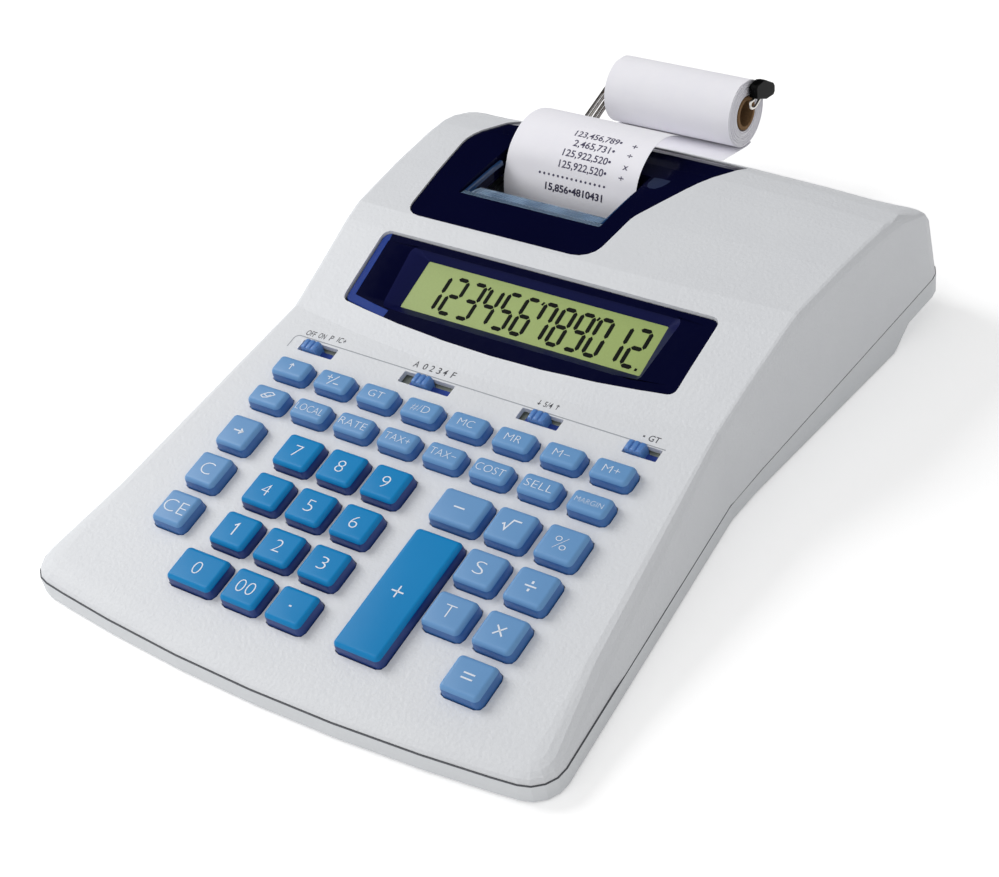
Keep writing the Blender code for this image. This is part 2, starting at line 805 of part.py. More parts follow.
# Slide switches
for name, *shares in switch_shares:
    low, high, rest = [share * front_half_width for share in shares]
    slot_middle, slot_width = (low + high) / 2, high - low
    slot = prism(rounded_rectangle(slot_width, switch_slot_depth, switch_clearance,
                                   middle=(slot_middle, switch_v)), -key_skirt, overrun)
    join_into(key_hole_bm, on_plane(slot))
    empty = bpy.data.objects.new("axis_" + name, None)
    parts.objects.link(empty)
    empty.parent = datum
    empty.location = on_slope(rest, switch_v, 0)
    empty.rotation_euler = (slope, 0, 0)
    half = switch_knob_width / 2
    top = switch_knob_height - panel_drop
    profile_points = [(-half, -panel_drop - switch_root), (half, -panel_drop - switch_root), (half, top - switch_ridge)]
    x = half - switch_ridge
    while x > switch_ridge_pitch / 2 - half:
        profile_points += [(x, top), (x - switch_ridge_pitch / 2, top)]
        x -= switch_ridge_pitch / 2
        profile_points += [(x - switch_ridge / 2, top - switch_ridge)]
        x -= switch_ridge_pitch / 2
    profile_points += [(-half, top - switch_ridge)]
    depth = switch_slot_depth / 2 - switch_clearance
    knob = loft([[(x, -depth, z) for x, z in profile_points], [(x, depth, z) for x, z in profile_points]])
    add_object(name, finish_mesh(name, knob, smooth=False), function_blue, parent=empty)

key_holes = add_object("key_holes", finish_mesh("key_holes", key_hole_bm, smooth=False))
boolean(upper_case, key_holes)


# Display window and the panel under it
def window_outline(grow=0.0):
    half = []
    front_half, back_half = window_front_half + grow, window_back_half + grow
    front, back = window_front_y - grow, window_back_y + grow
    for share in bow_shares + (1.0,):
        half.append(Vector((share * front_half, front - window_bow * (1 - share * share))))
    corner = half.pop()
    last = half[-1]
    back_corner = Vector((back_half, back))
    half += fillet(last, corner, back_corner, window_corner, corner_steps)
    half += fillet(corner, back_corner, Vector((0, back)), window_corner, corner_steps)
    half.append(Vector((0, back)))
    return [(x + window_middle_x, y) for x, y in full_outline(half)]


window_slope = (display_top_z - panel_z(break_y)) / (display_top_y - break_y)


def window_z(y):
    return panel_z(break_y) + window_slope * (y - break_y)


def slab_over(outline, top, thickness):
    """A slab over a plan outline, parallel to the display."""
    return loft([[(x, y, window_z(y) - top - thickness) for x, y in outline],
                 [(x, y, window_z(y) - top) for x, y in outline]])


window_cut = add_object("window_cut", finish_mesh("window_cut", slab_over(
    window_outline(gap), overrun * -5, overrun * 12), smooth=False))
boolean(upper_case, window_cut)
display_window = add_object("display_window", finish_mesh("display_window", slab_over(
    window_outline(), window_recess, window_thickness)), smoked)



def funnel_loop(share):
    """A loop of the pocket that narrows from the window's face, at share 1, down to the display panel."""
    half = mix(funnel_low_half, funnel_half, share)
    front, back = mix(funnel_low_front_y, funnel_front_y, share), mix(funnel_low_back_y, funnel_back_y, share)
    drop = window_recess + (window_thickness - window_floor) * (1 - share)
    return [(x, y, window_z(y) - drop) for x, y in rounded_rectangle(
        2 * half, back - front, lcd_corner, middle=(0, (front + back) / 2))]


funnel = add_object("funnel", finish_mesh("funnel", loft([funnel_loop(0), funnel_loop(1.5)]), smooth=False))
boolean(display_window, funnel)
lcd_drop = window_recess + window_thickness + gap
lcd_y = (funnel_low_front_y + funnel_low_back_y) / 2
lcd_outline = rounded_rectangle(lcd_width, lcd_depth, lcd_corner, middle=(0, lcd_y))
lcd_panel = add_object("lcd_panel", finish_mesh("lcd_panel", slab_over(
    lcd_outline, lcd_drop, lcd_thickness)), lcd_green)


# Printer cover: a piece of the same skin, in smoked plastic, with the well the paper leaves by
def cover_outline(grow=0.0):
    corners = [Vector((mix(cover_left_x, cover_right_x, share_x), mix(cover_front_y, cover_back_y, share_y)))
               for share_x, share_y in cover_corner_shares]
    radii = [share * (cover_back_y - cover_front_y) for share in cover_radius_shares]
    outline = []
    for i, corner in enumerate(corners):
        before, after = corners[i - 1], corners[(i + 1) % len(corners)]
        outline += fillet(before, corner, after, radii[i], corner_steps)
    middle = sum(outline, Vector((0, 0))) / len(outline)
    grown = []
    for i, point in enumerate(outline):
        along = (outline[(i + 1) % len(outline)] - outline[i - 1]).normalized()
        out = Vector((along.y, -along.x))
        if out.dot(point - middle) < 0:
            out = -out
        grown.append(point + out * grow)
    return grown


cover_low, cover_high = deck_z - 12 * case_wall, deck_z + 10 * overrun
cover_cut = add_object("cover_cut", finish_mesh("cover_cut", prism(
    cover_outline(gap), cover_low, cover_high), smooth=False))
boolean(upper_case, cover_cut)

printer_cover = add_object("printer_cover", uncut_shell, smoked)
printer_cover.data.transform(Matrix.Translation((0, 0, -cover_sink)))
cover_keep = add_object("cover_keep", finish_mesh("cover_keep", prism(
    cover_outline(), cover_low, cover_high), smooth=False))
boolean(printer_cover, cover_keep, "INTERSECT")
well_width, well_length = well_right - well_left, well_back - well_front
well_middle = ((well_left + well_right) / 2, (well_front + well_back) / 2)
well_rim = add_object("well_rim", finish_mesh("well_rim", prism(rounded_rectangle(
    well_width + 2 * well_wall, well_length + 2 * well_wall, well_corner + well_wall, middle=well_middle),
    deck_z - well_depth, deck_z - case_wall / 2 - cover_sink), smooth=False))
boolean(printer_cover, well_rim, "UNION")
well_hole = add_object("well_hole", finish_mesh("well_hole", prism(rounded_rectangle(
    well_width, well_length, well_corner, middle=well_middle),
    cover_low, cover_high), smooth=False))
boolean(printer_cover, well_hole)
bake(printer_cover, flat_faces=True)

# Tear bar: a clear U whose toothed front bar cuts the paper
tear_half = (well_width - 2 * gap) / 2
tear_front = well_front + gap
tear_edge = tear_front + tear_reach
tear_points = [(-tear_half, tear_front), (tear_half, tear_front), (tear_half, tear_front + tear_arm_length),
               (tear_half - tear_arm, tear_front + tear_arm_length), (tear_half - tear_arm, tear_edge)]
tooth_span = 2 * (tear_half - tear_arm)
tooth_count = int(tooth_span / tear_tooth_pitch)
for i in range(1, tooth_count):
    place = tear_half - tear_arm - tooth_span * i / tooth_count
    tear_points += [(place + tear_tooth_pitch / 2, tear_edge + tear_tooth), (place, tear_edge)]
tear_points += [(-tear_half + tear_arm, tear_edge), (-tear_half + tear_arm, tear_front + tear_arm_length),
                (-tear_half, tear_front + tear_arm_length)]
tear_points = [(x + well_middle[0], y) for x, y in tear_points]
tear_bar = add_object("tear_bar", finish_mesh("tear_bar", prism(
    tear_points, tear_top_z - tear_height, tear_top_z), smooth=False), clear_blue)

# Slot in the rear wall for the paper, and sockets for the roll holder
slot_cut = box_object("slot_cut", (paper_middle_x - paper_width / 2 - tear_reach, rear_y - 10 * case_wall, slot_z),
                      (paper_middle_x + paper_width / 2 + tear_reach, rear_y + overrun, slot_z + slot_height))
boolean(upper_case, slot_cut)
socket_half = wire_radius + socket_margin
socket_cut = box_object("socket_cut", (arm_left_x - socket_half, arm_root_y - overrun, arm_root_z - wire_pair / 2 - socket_half),
                        (arm_left_x + socket_half, rear_y + overrun, arm_root_z + wire_pair / 2 + socket_half + arm_rise))
boolean(upper_case, socket_cut)
bail_cut = box_object("bail_cut", (bail_left_x - socket_half, arm_root_y - overrun, bail_root_z - wire_pair / 2 - socket_half),
                      (bail_left_x + socket_half, rear_y + overrun, bail_root_z + wire_pair / 2 + socket_half + arm_rise))
boolean(upper_case, bail_cut)


def x_ring(radius, count=24, phase=0.0):
    return [(radius * cos(2 * pi * (i + phase) / count), radius * sin(2 * pi * (i + phase) / count))
            for i in range(count)]


def turned(stations, middle, count=24, teeth=()):
    """A solid turned about an axis along X; stations of (x, radius), toothed stations alternate."""
    loops = []
    for x, radius in stations:
        loop = []
        for i, (y, z) in enumerate(x_ring(1.0, count)):
            reach = radius + (gear_tooth if (x in teeth and i % 2) else 0)
            loop.append((x, middle[0] + reach * y, middle[1] + reach * z))
        loops.append(loop)
    return loft(loops)


def tube(x_low, x_high, outer, inner, middle, count=32):
    """A ring about an axis along X."""
    bm = bmesh.new()
    rings = []
    for x, radius in ((x_low, inner), (x_low, outer), (x_high, outer), (x_high, inner)):
        rings.append([bm.verts.new((x, middle[0] + radius * y, middle[1] + radius * z))
                      for y, z in x_ring(1.0, count)])
    for low, high in zip(rings, rings[1:] + rings[:1]):
        for i in range(count):
            j = (i + 1) % count
            bm.faces.new((low[i], low[j], high[j], high[i]))
    return bm


def on_axis(name, bm, finish, middle):
    """Add an object whose origin lies on its own axis along X."""
    mesh = finish_mesh(name, bm)
    mesh.transform(Matrix.Translation((0, -middle[0], -middle[1])))
    made = add_object(name, mesh, finish)
    made.location = (0, middle[0], middle[1])
    return made


# Paper roll on its card core
paper_left = paper_middle_x - paper_width / 2
roll_middle = (roll_y, roll_z)
paper_roll = on_axis("paper_roll", tube(paper_left, paper_right, roll_radius, core_radius, roll_middle, 40),
                     paper_white, roll_middle)
roll_core = on_axis("roll_core", tube(paper_left, paper_right, core_radius - gap / 3, bore_radius, roll_middle),
                    card_brown, roll_middle)

# Platen roller with its drive gear
platen_middle = (platen_y, platen_z)
platen_left = paper_left - platen_overhang
platen_right = paper_right + platen_overhang
gear_left = platen_right + gear_thickness
gear_right = gear_left + gear_thickness
shaft_left = platen_left - shaft_stub
shaft_right = gear_right + shaft_stub
platen_roller = on_axis("platen_roller", turned([
    (shaft_left, shaft_radius), (platen_left, shaft_radius), (platen_left + gap / 2, platen_radius),
    (platen_right - gap / 2, platen_radius), (platen_right, shaft_radius), (gear_left, shaft_radius),
    (gear_left + gap / 2, gear_radius), (gear_right - gap / 2, gear_radius), (gear_right, shaft_radius),
    (shaft_right, shaft_radius)], platen_middle, 2 * gear_teeth,
    teeth=(gear_left + gap / 2, gear_right - gap / 2)), black_plastic, platen_middle)


def extruded(points, thickness, x_low, x_high):
    """A sheet that follows a path in the YZ plane, as wide as the span in X."""
    sides = [[], []]
    for i, point in enumerate(points):
        along = (points[min(i + 1, len(points) - 1)] - points[max(i - 1, 0)]).normalized()
        across = Vector((-along.y, along.x)) * (thickness / 2)
        sides[0].append(point + across)
        sides[1].append(point - across)
    outline = sides[0] + list(reversed(sides[1]))
    return loft([[(x_low, y, z) for y, z in outline], [(x_high, y, z) for y, z in outline]])


def arc(middle, radius, start, end, steps):
    return [Vector((middle[0] + radius * cos(mix(start, end, i / steps)),
                    middle[1] + radius * sin(mix(start, end, i / steps)))) for i in range(steps + 1)]


def spline(points, steps=4):
    """A smooth path through points."""
    path = []
    for i in range(len(points) - 1):
        p0, p1 = points[max(i - 1, 0)], points[i]
        p2, p3 = points[i + 1], points[min(i + 2, len(points) - 1)]
        for step in range(steps):
            t = step / steps
            path.append(0.5 * (2 * p1 + (p2 - p0) * t + (2 * p0 - 5 * p1 + 4 * p2 - p3) * t * t
                               + (3 * p1 - p0 - 3 * p2 + p3) * t ** 3))
    path.append(points[-1])
    return path


# Paper strip: from under the roll through the rear slot, round the platen and up through the well
wrap_radius = platen_radius + paper_thickness / 2 + gap
roll_off_radius = roll_radius + paper_thickness / 2 + gap
start_angle, leave_angle = radians(-82), radians(-104)
web = arc(roll_middle, roll_off_radius, start_angle, leave_angle, 3)
web += [Vector((mix(roll_y, platen_y, share), slot_z + slot_height / 2 + slot_height * drop)) for share, drop in web_shares]
wrap_start, wrap_end = radians(-84), radians(-194)
wrap = arc(platen_middle, wrap_radius, wrap_start, wrap_end, 10)
strip = [Vector((platen_y + strip_reach * share_y, platen_z + strip_rise * share_z)) for share_y, share_z in strip_shares]
paper_path = spline(web, 2)[:-1] + spline([web[-1], wrap[0]], 2)[1:-1] + wrap + spline([wrap[-1]] + strip, 3)[1:]
paper_strip = add_object("paper_strip", finish_mesh("paper_strip", extruded(
    paper_path, paper_thickness, paper_left, paper_right)), paper_white)

# Print mechanism: side plates that carry the platen, joined by the print head and a floor
frame_left = platen_left - frame_gap
frame_right = gear_right + frame_gap
frame_foot_z = floor_height + floor_thickness + gap
frame_bm = bmesh.new()
box_mesh(frame_bm, (frame_left - frame_plate, frame_front_y, frame_foot_z), (frame_left, frame_back_y, frame_top_z))
print_mechanism = add_object("print_mechanism", finish_mesh("print_mechanism", frame_bm, smooth=False), frame_steel)
for name, low, high in (
    ("frame_right_plate", (frame_right, frame_front_y, frame_foot_z), (frame_right + frame_plate, frame_back_y, frame_top_z)),
    ("frame_floor_plate", (frame_left - frame_plate / 2, frame_front_y, frame_foot_z),
     (frame_right + frame_plate / 2, frame_back_y, frame_foot_z + frame_floor)),
    ("print_head", (frame_left - frame_plate / 2, print_head_front_y, print_head_low_z),
     (frame_right + frame_plate / 2, print_head_back_y, print_head_top_z)),
):
    boolean(print_mechanism, box_object(name, low, high), "UNION")
gear_room = box_object("gear_room", (platen_right + platen_overhang, platen_y - gear_radius - gear_tooth - frame_gap,
                                     platen_z - gear_radius - gear_tooth - frame_gap),
                       (frame_right, print_head_back_y + overrun, frame_top_z + overrun))
boolean(print_mechanism, gear_room)
shaft_bore = add_object("shaft_bore", finish_mesh("shaft_bore", turned([
    (frame_left - frame_plate - overrun, shaft_radius + shaft_clearance),
    (frame_right + frame_plate + overrun, shaft_radius + shaft_clearance)], platen_middle, 2 * gear_teeth)))
platen_room = add_object("platen_room", finish_mesh("platen_room", turned([
    (frame_left + gap, wrap_radius + frame_gap), (frame_right - gap, wrap_radius + frame_gap)],
    platen_middle, 2 * gear_teeth)))
boolean(print_mechanism, platen_room)
boolean(print_mechanism, shaft_bore)

# Circuit board under the keys, resting on posts of the lower case
board_bm = loft([[(x, y, z) for x, y in rounded_rectangle(
    2 * board_half_width, board_front_v + board_back_v, post_radius,
    middle=(0, (board_back_v - board_front_v) / 2))] for z in (-board_depth_w - board_thickness, -board_depth_w)])
circuit_board = add_object("circuit_board", finish_mesh("circuit_board", on_plane(board_bm)), board_green)
post_bm = bmesh.new()
for u in (-board_half_width + 3 * post_radius, board_half_width - 3 * post_radius):
    for v in (-board_front_v + 12 * post_radius, board_back_v - 2 * post_radius):
        top = on_slope(u, v, -board_depth_w - board_thickness)
        post = prism(x_ring(post_radius, 12), floor_height + floor_thickness / 2,
                     top.z - post_radius * tan(slope) - gap / 2)
        post.transform(Matrix.Translation((top.x, top.y, 0)))
        join_into(post_bm, post)
posts = add_object("posts", finish_mesh("posts", post_bm, smooth=False))
boolean(lower_case, posts, "UNION")

# Feet under the lower case
feet_bm = bmesh.new()
for side in (-1, 1):
    for y in (front_y + foot_inset, base_toe_y - foot_inset):
        foot = prism(x_ring(foot_radius, 20), 0, floor_height + floor_thickness / 2)
        foot.transform(Matrix.Translation((side * (waist_half_width - foot_inset / 2), y, 0)))
        join_into(feet_bm, foot)
feet = add_object("feet", finish_mesh("feet", feet_bm, smooth=False))
boolean(lower_case, feet, "UNION")

# Battery door: slides out to the back from a recess under the base
door_back_y = base_toe_y - door_back_inset
door_front_y = door_back_y - door_length
door_low = floor_height
recess = box_object("recess", (-door_half_width - gap, door_front_y - gap, -overrun),
                    (door_half_width + gap, rear_y + overrun, door_low + door_thickness + gap))
boolean(lower_case, recess)
battery_door = box_object("battery_door", (-door_half_width, door_front_y, door_low),
                          (door_half_width, door_back_y, door_low + door_thickness), case_grey)
bevel = battery_door.modifiers.new("bevel", "BEVEL")
bevel.width = door_bevel
bevel.segments = 1
bake(battery_door)


# Wire holder
def rounded_path(points, radius, steps=3):
    path = [points[0]]
    for before, corner, after in zip(points, points[1:], points[2:]):
        a, b = (before - corner), (after - corner)
        bend = min(radius, a.length * 0.45, b.length * 0.45)
        start, end = corner + a.normalized() * bend, corner + b.normalized() * bend
        for step in range(steps + 1):
            t = step / steps
            path.append(start.lerp(corner, t).lerp(corner.lerp(end, t), t))
    path.append(points[-1])
    return path


def hairpin(points):
    """A doubled wire along a path: out over the top, round the end and back underneath."""
    lift = Vector((0, 0, wire_pair / 2))
    top = rounded_path([p + lift for p in points], wire_bend)
    low = rounded_path([p - lift for p in points], wire_bend)
    return top, low


def wire_mesh(path, radius, count=8):
    """A round wire along a path."""
    loops = []
    side = None
    for i, point in enumerate(path):
        along = (path[min(i + 1, len(path) - 1)] - path[max(i - 1, 0)]).normalized()
        if side is None:
            side = along.cross(Vector((0, 0, 1))).normalized()
        side = (side - along * side.dot(along)).normalized()
        up = along.cross(side)
        loops.append([point + side * (radius * cos(2 * pi * k / count)) + up * (radius * sin(2 * pi * k / count))
                      for k in range(count)])
    return loft(loops)


def hairpin_wire(points):
    """The doubled wire as one round wire, its end turned through a small half circle."""
    top, low = hairpin(points)
    out = (top[-1] - top[-2]).normalized()
    centre = (top[-1] + low[-1]) / 2
    turn = [centre + Vector((0, 0, wire_pair / 2)) * cos(pi * k / 4) + out * (wire_pair / 2 * sin(pi * k / 4))
            for k in range(1, 4)]
    return wire_mesh(top + turn + list(reversed(low)), wire_radius)


arm_slope = (arm_tip_z - arm_root_z) / (roll_y - arm_root_y)
arm_left_points = [Vector((arm_left_x, arm_root_y, arm_root_z)), Vector((arm_left_x, roll_y, arm_tip_z)),
                   Vector((paper_left + arm_tip_reach, roll_y, arm_tip_z))]
holder_arm_left = add_object("holder_arm_left", finish_mesh("holder_arm_left", hairpin_wire(arm_left_points)),
                             wire_bright)
arm_right_points = [Vector((bail_left_x, arm_root_y, bail_root_z)),
                    Vector((bail_left_x, bail_back_y, bail_back_z)),
                    Vector((hinge_x - wire_pair / 2, bail_back_y, bail_back_z))]
holder_arm_right = add_object("holder_arm_right", finish_mesh("holder_arm_right", hairpin_wire(arm_right_points)),
                              wire_bright)

# Clip that swings out on the end of the holder to free the roll
clip_low_x, clip_high_x = hinge_x - clip_width / 2, hinge_x + clip_width / 2
clip_front_y, clip_low_z, clip_high_z = peg_y - clip_nose, bail_back_z - clip_drop, bail_back_z + clip_rise
clip_profile = [(mix(clip_front_y, clip_back_y, share_y), mix(clip_low_z, clip_high_z, share_z))
                for share_y, share_z in clip_shares]
clip_bm = loft([[(x, y, z) for y, z in clip_profile] for x in (clip_low_x, clip_high_x)])
clip_mesh = finish_mesh("holder_clip", clip_bm, smooth=False)
clip_mesh.transform(Matrix.Translation((-hinge_x, -bail_back_y, 0)))
holder_clip = add_object("holder_clip", clip_mesh, black_plastic)
holder_clip.location = (hinge_x, bail_back_y, 0)
peg = add_object("peg", finish_mesh("peg", turned([
    (paper_right - peg_reach, peg_radius), (clip_low_x + clip_width / 2, peg_radius)], (peg_y, peg_z), 16)))
boolean(holder_clip, peg, "UNION")
pin_room = wire_radius + socket_margin
pin_bore_bm = prism(x_ring(pin_room, 16), bail_back_z - wire_pair / 2 - pin_room, bail_back_z + wire_pair / 2 + pin_room)
pin_bore_bm.transform(Matrix.Translation((hinge_x, bail_back_y, 0)))
pin_bore = add_object("pin_bore", finish_mesh("pin_bore", pin_bore_bm))
boolean(holder_clip, pin_bore)
wire_room = box_object("wire_room", (clip_low_x - overrun, bail_back_y - pin_room, bail_back_z - wire_pair / 2 - pin_room),
                       (hinge_x + pin_room, clip_back_y + overrun, bail_back_z + wire_pair / 2 + pin_room))
boolean(holder_clip, wire_room)
bake(holder_clip, smooth=False)
for cut_piece in (upper_case, lower_case, print_mechanism, display_window):
    bake(cut_piece)
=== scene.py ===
"""Looks for the desktop printing calculator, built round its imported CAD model.

Lengths are in millimetres; u, v, w run across, up and off the keyboard's slope from the first key row.
"""
from math import atan, cos, pi, radians, sin, tan

import bpy
import bmesh
from mathutils import Matrix, Vector


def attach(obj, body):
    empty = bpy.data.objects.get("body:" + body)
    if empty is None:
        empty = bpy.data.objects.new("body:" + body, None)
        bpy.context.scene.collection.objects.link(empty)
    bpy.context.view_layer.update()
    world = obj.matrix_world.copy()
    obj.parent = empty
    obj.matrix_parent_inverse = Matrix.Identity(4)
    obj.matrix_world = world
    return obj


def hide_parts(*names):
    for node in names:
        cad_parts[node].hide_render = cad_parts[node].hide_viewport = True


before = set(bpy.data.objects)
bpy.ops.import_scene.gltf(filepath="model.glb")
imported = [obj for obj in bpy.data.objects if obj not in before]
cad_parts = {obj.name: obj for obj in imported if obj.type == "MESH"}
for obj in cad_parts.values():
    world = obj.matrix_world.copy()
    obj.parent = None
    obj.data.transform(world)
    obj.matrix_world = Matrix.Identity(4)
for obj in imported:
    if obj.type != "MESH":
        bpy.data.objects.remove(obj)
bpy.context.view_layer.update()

mm = 0.001
origin_y = -55.25  # from the first key row to the middle of the machine

# The keyboard plane, the panel under it and the steeper plane of the display, as in the part's source
slope = radians(11.5)
key_top_z = 36.2
panel_drop = 4.6
break_y, display_top_y, display_top_z = 29.4, 68.0, 51.0
panel_rise = key_top_z - panel_drop / cos(slope)
display_drop = 3.87  # square to the display's slope
window_slope = (display_top_z - panel_rise - break_y * tan(slope)) / (display_top_y - break_y)


def at(x, y, z):
    """A place with y counted from the first key row, in the model's own frame, in metres."""
    return Vector((x * mm, (y + origin_y) * mm, z * mm))


def on_keyboard(u, v, w):
    """A place on the keyboard's slope, w above the key tops."""
    return at(u, cos(slope) * v - sin(slope) * w, sin(slope) * v + cos(slope) * w + key_top_z)


def on_display(x, y, lift):
    """A place on the display's slope, lift above it."""
    tilt = atan(window_slope)
    z = panel_rise + break_y * tan(slope) + window_slope * (y - break_y)
    return at(x, y - lift * sin(tilt), z + lift * cos(tilt))


def mix(a, b, share):
    """The value that lies this share of the way from a to b."""
    return a + (b - a) * share


# Camera: the photo's viewpoint, found from the grid of key tops
film_width = 36
focal_pixels = 2036.5
picture_width = 999
camera_data = bpy.data.cameras.new("camera")
camera_data.sensor_width = film_width
camera_data.lens = film_width * focal_pixels / picture_width
camera = bpy.data.objects.new("camera", camera_data)
bpy.context.scene.collection.objects.link(camera)
look = Vector((-0.51918, 0.59758, -0.61102))
right = Vector((0.81319, 0.56540, -0.13800))
up = Vector((-0.26300, 0.56852, 0.77949))
turn = Matrix((right, up, -look)).transposed()
stand = at(368.40, -398.00, 440.96)
camera.matrix_world = Matrix.Translation(stand) @ turn.to_4x4()
bpy.context.scene.camera = camera


# Materials
def linear(code):
    """The linear colour of an sRGB hex value."""
    parts = [int(code[i:i + 2], 16) / 255 for i in (1, 3, 5)]
    return [c / 12.92 if c <= 0.04045 else ((c + 0.055) / 1.055) ** 2.4 for c in parts] + [1.0]


def new_material(name, **sockets):
    """A material whose shader has these constant settings; colours are hex values."""
    made = bpy.data.materials.new(name)
    made.use_nodes = True
    shader = made.node_tree.nodes["Principled BSDF"]
    for socket, value in sockets.items():
        value = linear(value) if isinstance(value, str) else value
        shader.inputs[socket.replace("_", " ")].default_value = value
    return made, made.node_tree, shader


def add_node(tree, kind, settings=(), **sockets):
    """Add a node with its settings. Inputs, as values or links, go by name or by _ and their number."""
    node = tree.nodes.new(kind)
    for key, value in dict(settings).items():
        setattr(node, key, value)
    for key, value in sockets.items():
        which = int(key[1:]) if key[1:].isdigit() else key.replace("_", " ")
        socket = node.inputs[which]
        if isinstance(value, bpy.types.NodeSocket):
            tree.links.new(value, socket)
        else:
            socket.default_value = linear(value) if isinstance(value, str) else value
    return node


def object_place(tree):
    """Places on the piece itself, so that no pattern slides when the view or pose changes."""
    return add_node(tree, "ShaderNodeTexCoord").outputs["Object"]


colour_mix = {"data_type": "RGBA"}
mottle_size = 24
smoother, rougher = 0.06, 0.08  # how far the grain takes the roughness down and up


def grained(name, colour, shade, roughness, grain, depth, **sockets):
    """A surface whose colour drifts towards a shade, with a grain of this size and depth.

    The real grains are 0.02 to 0.2 mm, too fine for the picture, so they are drawn 0.4 mm or coarser.
    """
    made, tree, shader = new_material(name, **sockets)
    place = object_place(tree)
    mottle = add_node(tree, "ShaderNodeTexNoise", Vector=place, Scale=1 / (mottle_size * mm), Detail=3.0)
    blend = add_node(tree, "ShaderNodeMix", colour_mix, _0=mottle.outputs["Fac"], _6=colour, _7=shade)
    speck = add_node(tree, "ShaderNodeTexNoise", Vector=place, Scale=1 / (grain * mm), Detail=2.0)
    gloss = add_node(tree, "ShaderNodeMapRange", Value=speck.outputs["Fac"],
                     To_Min=roughness - smoother, To_Max=roughness + rougher)
    bump = add_node(tree, "ShaderNodeBump", Height=speck.outputs["Fac"], Distance=depth * mm, Strength=0.6)
    tree.links.new(blend.outputs[2], shader.inputs["Base Color"])
    tree.links.new(gloss.outputs["Result"], shader.inputs["Roughness"])
    tree.links.new(bump.outputs["Normal"], shader.inputs["Normal"])
    return made


# ABS, moulded in a spark-eroded tool: an even satin white whose grain breaks up reflections
case_abs = grained("moulded_abs_case", "#E5E7EA", "#DFE1E5", 0.52, 1.3, 0.3, IOR=1.53)
base_abs = grained("moulded_abs_base", "#E3E5E8", "#DDE0E3", 0.55, 1.3, 0.2, IOR=1.53)
# ABS key caps, moulded in a lightly polished tool: a soft sheen along the rounded edges
key_light_abs = grained("moulded_abs_key_light", "#6C9FD2", "#689ACD", 0.38, 0.5, 0.015, IOR=1.53,
                        Specular_IOR_Level=0.35)
key_digit_abs = grained("moulded_abs_key_digit", "#0088C8", "#0082C2", 0.36, 0.5, 0.015, IOR=1.53,
                        Specular_IOR_Level=0.2)
# their skirts are of the same ABS, drawn darker: painted shade for the sides down between the keys
key_light_skirt_painted_shade = grained("moulded_abs_key_light_painted_shade", "#3A6FB2", "#356AAC", 0.36, 0.5, 0.015, IOR=1.53)
key_digit_skirt_painted_shade = grained("moulded_abs_key_digit_painted_shade", "#183C84", "#14367C", 0.36, 0.5, 0.015, IOR=1.53)
# ABS knobs and sliders, polished a little more: small highlights on the ribs
switch_abs = grained("moulded_abs_switch", "#5788CA", "#5182C4", 0.34, 0.5, 0.015, IOR=1.53)
switch_plate_abs = grained("moulded_abs_switch_plate", "#25449C", "#213F94", 0.4, 0.5, 0.02, IOR=1.53)
# Acetal, moulded black: the clip has a waxy half-gloss
clip_acetal = grained("moulded_acetal_black", "#060607", "#040405", 0.44, 0.4, 0.02, IOR=1.48,
                      Specular_IOR_Level=0.08)
# Polycarbonate tinted dark blue, from a polished tool: deep colour under sharp reflections
smoked_pc = grained("polished_polycarbonate_smoked", "#090B2C", "#070925", 0.14, 3.0, 0.01, IOR=1.45,
                    Specular_IOR_Level=0.25, Specular_Tint="#9AA6F0")
# the same plastic with the tool's eroded finish: the sides of the funnel stay soft and even
funnel_pc = grained("eroded_polycarbonate_smoked", "#101344", "#0D103A", 0.42, 0.8, 0.03, IOR=1.45,
                    Specular_IOR_Level=0.25, Specular_Tint="#9AA6F0")
# the same plastic where the thumb goes, duller, and drawn greyer: a painted sheen where the facet catches the
# light
recess_pc_painted_sheen = grained("polycarbonate_recess_painted_sheen", "#26304F", "#212B49", 0.35, 0.8, 0.02, IOR=1.45)
# the same polished plastic at the frame's left end, drawn a lighter blue: a painted highlight for the light
# that comes through its edge
rim_pc_painted_highlight = grained("polycarbonate_rim_painted_highlight", "#1F3F94", "#1A3788", 0.2, 3.0, 0.01, IOR=1.45,
                 Specular_IOR_Level=0.25)
# Nitrile rubber, ground to size: dull black that shows dust
platen_rubber = grained("ground_nitrile_rubber", "#26262A", "#2E2E31", 0.8, 0.4, 0.06)
# Bonded glass-fibre board under solder mask: glossy green
board_mask = grained("solder_masked_board", "#1E5A36", "#236440", 0.35, 1.8, 0.02, IOR=1.5)
# Sheet and turned steel, zinc plated: grey with a faint cloudiness
frame_zinc = grained("zinc_plated_steel", "#8E9297", "#7D8186", 0.4, 0.6, 0.01, Metallic=1.0)
# Stove enamel on the sheet-steel switch beds: grey-green, half matt
bed_paint = grained("stove_enamelled_steel", "#B4BAB0", "#A9AFA5", 0.5, 0.6, 0.01)
# Pad-printed inks: thin matt films
ink_white = grained("pad_printed_ink_white", "#E9EFF7", "#DFE7F2", 0.6, 0.4, 0.01)
ink_grey = grained("pad_printed_ink_grey", "#3C3D44", "#46474E", 0.6, 0.4, 0.01)
# ABS lip in painted shade: the dull dark line where the shells meet, standing in for the shadow in the gap
seam_painted_shade = grained("abs_lip_painted_shade", "#5E6065", "#6A6C71", 0.85, 0.9, 0.02)
# ABS in the shade of a shallow groove: a soft grey line
groove_shade = grained("moulded_groove", "#9FA3AA", "#A6AAB0", 0.7, 0.4, 0.01)


